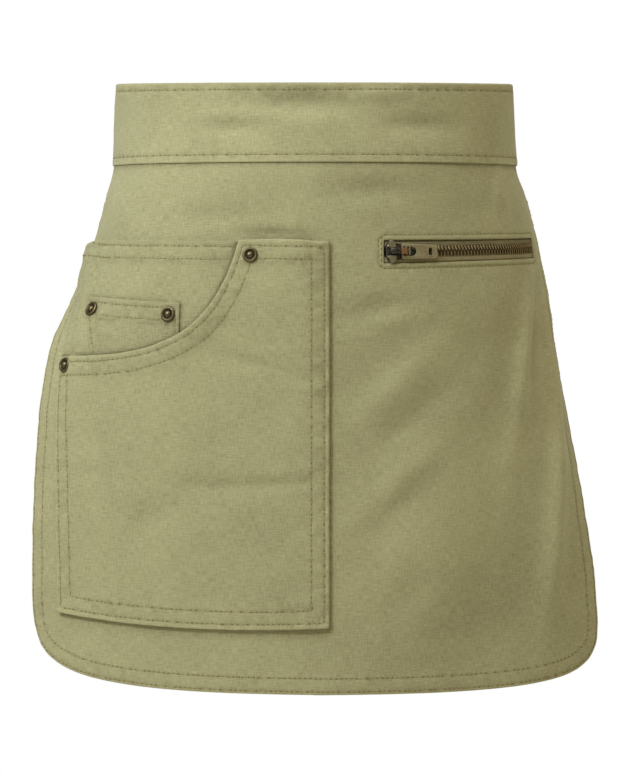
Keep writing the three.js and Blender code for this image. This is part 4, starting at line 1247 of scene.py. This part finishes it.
def set_forms(name, tree, lines, shape, finish, spacing=1.0, unevenness=0.0, seed=5):
    """A plain mesh of one form repeated on guides, each a list of points and of the ways that they face."""
    corners, faces, wear = shape
    form = add_piece(name + "_form", corners, faces, finish, wear, corners[:, :2], sharp=SHARP.repeated)
    points = np.concatenate([line[0] for line in lines]) * MM
    facing = np.concatenate([line[1] for line in lines])
    run = np.concatenate([line[2] if len(line) > 2 else np.zeros_like(line[1]) for line in lines])
    edges, first = [], 0
    for line in lines:
        edges += [(first + n, first + n + 1) for n in range(len(line[0]) - 1)]
        first += len(line[0])
    guide = bpy.data.meshes.new(name)
    guide.from_pydata(points.tolist(), edges if tree is ALONG_LINES else [], [])
    for title, values in (("facing", facing), ("run", run)):
        attribute = guide.attributes.new(title, "FLOAT_VECTOR", "POINT")
        attribute.data.foreach_set("vector", values.astype(np.float32).ravel())
    piece = bpy.data.objects.new(name, guide)
    bpy.context.collection.objects.link(piece)
    modifier = piece.modifiers.new("forms", "NODES")
    modifier.node_group = tree
    values = {"Form": form, "Spacing": spacing * MM, "Unevenness": unevenness, "Seed": seed, "Finish": finish}
    for socket in tree.interface.items_tree:
        if socket.in_out == "INPUT" and socket.name in values:
            modifier[socket.identifier] = values[socket.name]
    evaluated = piece.evaluated_get(bpy.context.evaluated_depsgraph_get())
    mesh = bpy.data.meshes.new_from_object(evaluated)
    piece.modifiers.remove(modifier)
    piece.data = mesh
    mesh.name = name
    bpy.data.meshes.remove(guide)
    bpy.data.objects.remove(form)
    return piece


def thread_form():
    """One stitch: a short thread that rises out of the cloth and goes back in, and the needle's hole as a
    flat disc painted dark as shade.
    """
    sides, stops, hole_sides, dark = 5, 6, 8, -1
    points, wear = [], []
    for t in np.linspace(-1, 1, stops):
        middle = STITCH.rise * (1 - t ** 4) - STITCH.dip * t * t - STITCH.thick
        for n in range(sides):
            angle = 2 * math.pi * n / sides
            points.append((t * STITCH.length / 2, STITCH.thick * math.cos(angle),
                           middle + STITCH.thick * math.sin(angle)))
            wear.append(STITCH.wear * (1 - t * t))
    faces = ring_faces(sides, stops, flipped=True)
    faces += [tuple(range(sides)), tuple((stops - 1) * sides + n for n in reversed(range(sides)))]
    # The needle's hole is a flat disc painted dark, as the shade in the hole.
    rim = len(points)
    for n in range(hole_sides):
        angle = 2 * math.pi * n / hole_sides
        points.append((STITCH.spacing / 2 + STITCH.hole_long * math.cos(angle),
                       STITCH.hole_wide * math.sin(angle), -STITCH.hole_sink))
        wear.append(dark)
    faces.append(tuple(range(rim, rim + hole_sides)))
    return np.array(points), faces, np.array(wear)


def tooth_form():
    """One zip tooth: a rounded bar that arches from its root on the tape, at +Y, to its tip."""
    path = [(3.5, -1.3, 0.8), (3.0, -0.7, 1.0), (1.9, -0.4, 1.0), (0.9, -0.15, 0.95), (0.15, -0.1, 0.75),
            (-0.1, -0.6, 0.55)]
    half = TOOTH.width / 2
    ring = rounded_rectangle(-half, half, -TOOTH.deep, 0, TOOTH.corner, TOOTH.corner_steps)
    points, wear = [], []
    for y, top, size in path:
        for x, depth in ring:
            points.append((x * size, y, top + depth))
            # Tops painted bright as a highlight, sides painted dark as shade between the teeth.
            wear.append(TOOTH.bright if depth > TOOTH.bright_from else TOOTH.dark)
    count = len(ring)
    faces = ring_faces(count, len(path))
    faces += [tuple(reversed(range(count))), tuple((len(path) - 1) * count + n for n in range(count))]
    return np.array(points), faces, np.array(wear)


def zip_teeth():
    """Two rows of teeth that mesh half a pitch apart."""
    rows = []
    for way, shift in ((1, 0), (-1, TOOTH.pitch / 2)):
        s = np.arange(SLIDER.at + shift, ZIP.right - TOOTH.end, TOOTH.pitch)
        path = np.stack([s, zip_line(s)], 1)
        facing = body_normal(angle_at(s, path[:, 1]), path[:, 1])
        run = np.gradient(lay(path, 0), axis=0) * way
        rows.append((lay(path, TOOTH.rise), facing, run))
    return set_forms("zip_teeth", AT_POINTS, rows, tooth_form(), TEETH)


def rivet_heads():
    """Cap, groove and dome of each rivet, and the burr behind it."""
    rows, step = [], (0.5, 0)
    for places, top in ((RIVET.on_mouth, front_faces), (RIVET.on_coin, coin_faces)):
        for place in places:
            point = np.array([place], float)
            normal = body_normal(angle_at(point[:, 0], point[:, 1]), point[:, 1])
            run = lay(point + step, 0) - lay(point - step, 0)
            rows.append((lay(point, top(point)[0] + RIVET.seat), normal, run))
    cap, dome = RIVET.cap, RIVET.dome
    profile = [(0, -3.6), (3.2, -3.6), (3.4, -3.0), (1.6, -2.8), (1.6, -0.4), (cap - 0.2, -0.3), (cap, 0.2),
               (cap - 0.25, 0.75), (cap - 0.8, 1.05), (cap - 1.35, 0.95), (dome + 0.75, 0.35),
               (dome + 0.25, 0.35), (dome, 0.8), (dome * 0.75, 1.3), (dome * 0.4, 1.55), (0, 1.62)]
    wear = [0, 0, 0, 0, 0, -0.6, 0.1, 0.8, 0.6, -0.2, -1, -1, 0.2, 0.9, 0.7, 0.6]
    return set_forms("rivet_heads", AT_POINTS, rows, turned(profile, RIVET.sides, wear), BRASS)


# Slider, pull and button


def zip_slider():
    """The slider's plates, its two wings painted bright as reflections and its black bridge, with a worn
    copper end.
    """
    nose, tail = -SLIDER.length / 2, SLIDER.length / 2
    edge = [(nose, 3.0), (nose + 0.7, SLIDER.nose), (-4, SLIDER.shoulder), (-1.5, SLIDER.shoulder),
            (1, SLIDER.tail + 0.5), (tail - 0.6, SLIDER.tail), (tail, SLIDER.tail - 0.6)]
    outline = [(x, -y) for x, y in edge] + edge[::-1]
    low, high = SLIDER.top_plate
    under, over = SLIDER.bottom_plate
    from_x, to_x = SLIDER.bridge
    leg, top, base = SLIDER.bridge_thick, SLIDER.bridge_top, high - SLIDER.bridge_sunk
    legs_top = top - leg
    arch = [(from_x, base), (from_x + leg, base), (from_x + leg, legs_top - 0.3),
            (from_x + leg + 0.4, legs_top), (to_x - leg - 0.4, legs_top),
            (to_x - leg, legs_top - 0.3), (to_x - leg, base), (to_x, base),
            (to_x, legs_top), (to_x - 0.4, legs_top + 0.7), (to_x - leg, top),
            (from_x + leg, top), (from_x + 0.4, legs_top + 0.7), (from_x, legs_top)]
    bridge = slab(arch, -SLIDER.bridge_half, SLIDER.bridge_half, bevel=0.45)
    post = rounded_rectangle(nose + 0.4, nose + 2.8, -1.3, 1.3, radius=0.5)
    half, turn = SLIDER.tongue_half, np.radians(np.linspace(-90, 90, SLIDER.round_steps))
    tip = [(SLIDER.tongue_end + half * math.cos(a), half * math.sin(a)) for a in turn]
    tongue = [(SLIDER.tongue_from, -half), *tip, (SLIDER.tongue_from, half)]
    black, black_faces, black_wear = joined(
        slab(outline, low, high, bevel=0.35), slab(outline, under, over, bevel=0.3),
        slab(post, under + SLIDER.post_sunk, base, bevel=0.1),
        moved(bridge, Matrix.Rotation(math.radians(90), 4, "X")), slab(tongue, *SLIDER.tongue, bevel=0.15))
    # The wings and cheeks are painted bright as reflections on the black plate.
    wing = [(-4.9, 3.2), (-2.6, 1.7), (0.2, 2.6), (-0.3, 5.4), (-2.2, 7.2), (-3.9, 6.5)]
    cheek = [(-5.6, 3.3), (-5.0, 2.3), (-3.4, 3.3), (-4.4, 4.6)]
    bright_forms = []
    for corners, (sunk, proud), bevel in ((wing, SLIDER.wing, 0.45), (cheek, SLIDER.cheek, 0.2)):
        for side in (1, -1):
            mirrored = [(x, side * y) for x, y in corners][::side]
            bright_forms.append(slab(mirrored, high + sunk, high + proud, bevel))
    rung = slab(rounded_rectangle(7.6, 8.8, -1.95, 1.95, radius=0.3), *SLIDER.rung, bevel=0.15)
    bright, bright_faces, bright_painted_light = joined(*bright_forms, rung)
    (black_share, black_start), (bright_share, bright_start) = SLIDER_WEAR_AND_SHADING.black, SLIDER_WEAR_AND_SHADING.bright
    shape = joined((black, black_faces, black_wear * black_share + black_start),
                   (bright, bright_faces, bright_painted_light * bright_share + bright_start))
    place = frame_at(SLIDER.at, ZIP.middle)
    points, faces, wear = moved(shape, place)
    body = add_piece("zip_slider_brass", points, faces, BLACKENED, wear, sharp=SHARP.hard)
    waist = [(2.5, -2.3), (3.4, -2.5), (3.9, -1.9), (5.0, -1.9), (5.5, -2.5), (6.2, -2.3)]
    cap_low, cap_high = (top + step for step in SLIDER.cap)
    around = waist + [(x, -y) for x, y in waist[::-1]]
    points, faces, wear = moved(slab(around, cap_low, cap_high, bevel=0.3), place)
    cap = add_piece("zip_slider_cap", points, faces, COPPER, wear + SLIDER_WEAR_AND_SHADING.cap, sharp=SHARP.hard)
    return body, cap


def zip_pull():
    """The tab with its long window and a small slot near its end."""
    bar, root, half, end, reach = PULL.bar, PULL.root_half, PULL.end_half, PULL.end, PULL.window_half
    edge = [(-bar, root - 0.8), (0.3, root), (end - 1.2, half), (end - 0.3, half - 0.4), (end, half - 1.3)]
    outline = [(x, -y) for x, y in edge] + edge[::-1]
    round_end = [(PULL.window_end - reach + reach * math.cos(a), reach * math.sin(a))
                 for a in np.radians(np.linspace(-90, 90, SLIDER.round_steps))]
    window = [(bar, -reach), *round_end, (bar, reach)]
    slot = rounded_rectangle(PULL.slot_from, PULL.slot_to, -PULL.slot_half, PULL.slot_half, radius=0.4)
    around = PULL.slot_half + PULL.collar
    collar = rounded_rectangle(PULL.slot_from - PULL.collar, PULL.slot_to + PULL.collar, -around, around,
                               radius=0.7)
    collar_low, collar_high = (bar + step for step in PULL.collar_faces)
    shape = joined(slab(outline, -bar, bar, bevel=0.25, holes=[window, slot]),
                   slab(collar, collar_low, collar_high, bevel=0.15, holes=[slot]))
    place = (frame_at(SLIDER.at, ZIP.middle) @ Matrix.Translation(PULL.hinge)
             @ Matrix.Rotation(math.radians(PULL.droop), 4, "Y"))
    points, faces, wear = moved(shape, place)
    # The tab's faces are paler and its rims painted darker as shade round its outline.
    return add_piece("zip_pull_tab", points, faces, TAB, SLIDER_WEAR_AND_SHADING.pull - wear, sharp=SHARP.hard)


def back_button():
    half_turn, level = np.array(math.pi), np.array(0.0)
    out = body_normal(half_turn, level, worn=False)
    across = np.cross((0, 0, 1), out)
    across /= np.linalg.norm(across)
    place = frame_of(across, out, body_point(half_turn, level, worn=False))
    low, high = BAND.inner - BUTTON.seat, BAND.outer + float(band_lift(half_turn)) + BUTTON.seat
    cap, back = BUTTON.cap, BUTTON.back
    under = low - BUTTON.back_thick
    profile = [(0, under), (back - 0.4, under), (back, low - 0.5), (back - 0.2, low), (BUTTON.post, low),
               (BUTTON.post, high), (cap - 0.3, high), (cap, high + 0.5), (cap - 0.2, high + 1.2),
               (cap - 0.9, high + 1.8), (cap - 1.9, high + 1.7), (cap - 2.6, high + 1.3),
               (cap / 2, high + 1.6), (cap / 4, high + BUTTON.dome), (0, high + BUTTON.dome + 0.2)]
    wear = [0, 0, 0.3, 0, 0, 0, 0, 0.3, 0.6, 0.8, 0.2, -0.8, 0, 0.5, 0.5]
    points, faces, wear = moved(turned(profile, BUTTON.sides, wear), place)
    return add_piece("back_button_brass", points, faces, BRASS, wear, sharp=SHARP.hard)


# The apron's pieces


def finish_piece(piece, body, slot, *nodes):
    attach(piece, body)
    if nodes:
        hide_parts(*nodes)
    return piece


band = finish_piece(waistband(), "apron", "twill", "waistband")
panel_piece, panel_area = panel()
finish_piece(panel_piece, "apron", "twill", "panel")
back_piece, back_area = pocket_back()
finish_piece(back_piece, "apron", "twill", "pocket_back")
front_piece, front_area = pocket_front()
finish_piece(front_piece, "apron", "twill", "pocket_front")
coin_piece, coin_area = coin_pocket()
finish_piece(coin_piece, "apron", "twill", "coin_pocket")
pouch_piece, pouch_area = zip_pouch()
finish_piece(pouch_piece, "apron", "pocketing", "zip_pocket_bag")
for side, way in (("upper", 1), ("lower", -1)):
    tape, tape_area = zip_tape(f"zip_tape_{side}_cloth", way)
    finish_piece(tape, "apron", "zip_tape", f"zip_tape_{side}")

thread = set_forms("seam_stitches", ALONG_LINES, SEAM_LINES, thread_form(), THREAD,
                   STITCH.spacing, STITCH.uneven)
finish_piece(thread, "apron", "twill")
finish_piece(zip_teeth(), "apron", "antique_brass", "zip_teeth_upper", "zip_teeth_lower")
slider, slider_cap = zip_slider()
finish_piece(slider, "apron", "antique_brass", "zip_slider")
finish_piece(slider_cap, "apron", "antique_brass")
finish_piece(rivet_heads(), "apron", "antique_brass",
             "rivet_mouth_top", "rivet_mouth_side", "rivet_coin_left", "rivet_coin_right")
finish_piece(back_button(), "apron", "antique_brass", "back_button")
finish_piece(zip_pull(), "pull", "antique_brass", "zip_pull")

# Light and floor


def soft_light(name, place, target, size, power, colour):
    data = bpy.data.lights.new(name, "AREA")
    data.shape = "DISK"
    data.size = size
    data.energy = power
    data.color = colour
    light = bpy.data.objects.new(name, data)
    light.location = place
    light.rotation_euler = (Vector(target) - Vector(place)).to_track_quat("-Z", "Y").to_euler()
    bpy.context.collection.objects.link(light)


def studio():
    middle = (0, 0, -0.15)
    daylight = (0.925, 1.0, 1.08)
    warm_side = (1.0, 0.99, 0.92)
    soft_light("key_light", (-1.25, -1.3, 1.2), middle, size=0.45, power=21.3, colour=daylight)
    soft_light("top_light", (0.0, -1.0, 2.0), middle, size=0.8, power=14.3, colour=(0.97, 1.0, 1.03))
    soft_light("left_light", (-1.15, -0.5, 0.85), middle, size=0.9, power=6.8, colour=daylight)
    soft_light("right_light", (1.9, 0.5, 0.7), middle, size=1.2, power=8, colour=warm_side)
    world = bpy.data.worlds.new("studio_white")
    world.use_nodes = True
    tree = world.node_tree
    tree.nodes.clear()
    seen = make(tree, "ShaderNodeLightPath").outputs["Is Camera Ray"]
    around = make(tree, "ShaderNodeBackground", {"Color": (1.0, 0.81, 0.44, 1), "Strength": 0.28})
    white = make(tree, "ShaderNodeBackground", {"Color": (1, 1, 1, 1), "Strength": 1.0})
    both = make(tree, "ShaderNodeMixShader", {0: seen, 1: around.outputs[0], 2: white.outputs[0]})
    make(tree, "ShaderNodeOutputWorld", {"Surface": both.outputs[0]})
    bpy.context.scene.world = world
    bpy.context.scene.view_settings.view_transform = "Standard"


def floor():
    sides, radius, level = 96, 1.6, -0.75
    turn = [2 * math.pi * n / sides for n in range(sides)]
    mesh = bpy.data.meshes.new("studio_floor")
    mesh.from_pydata([(radius * math.cos(t), radius * math.sin(t), level) for t in turn], [], [range(sides)])
    material, tree = new_material("pale_floor")
    place = make(tree, "ShaderNodeTexCoord").outputs["Object"]
    grain = make(tree, "ShaderNodeTexNoise", {"Vector": place, "Scale": 40.0, "Detail": 3.0}).outputs["Fac"]
    colour = blend_colours(tree, grain, (0.80, 0.80, 0.79, 1), (0.86, 0.86, 0.85, 1))
    surface = make(tree, "ShaderNodeBsdfPrincipled", {"Base Color": colour, "Roughness": 0.8})
    make(tree, "ShaderNodeOutputMaterial", {"Surface": surface.outputs[0]})
    mesh.materials.append(material)
    ground = bpy.data.objects.new("studio_floor", mesh)
    bpy.context.collection.objects.link(ground)


studio()
floor()
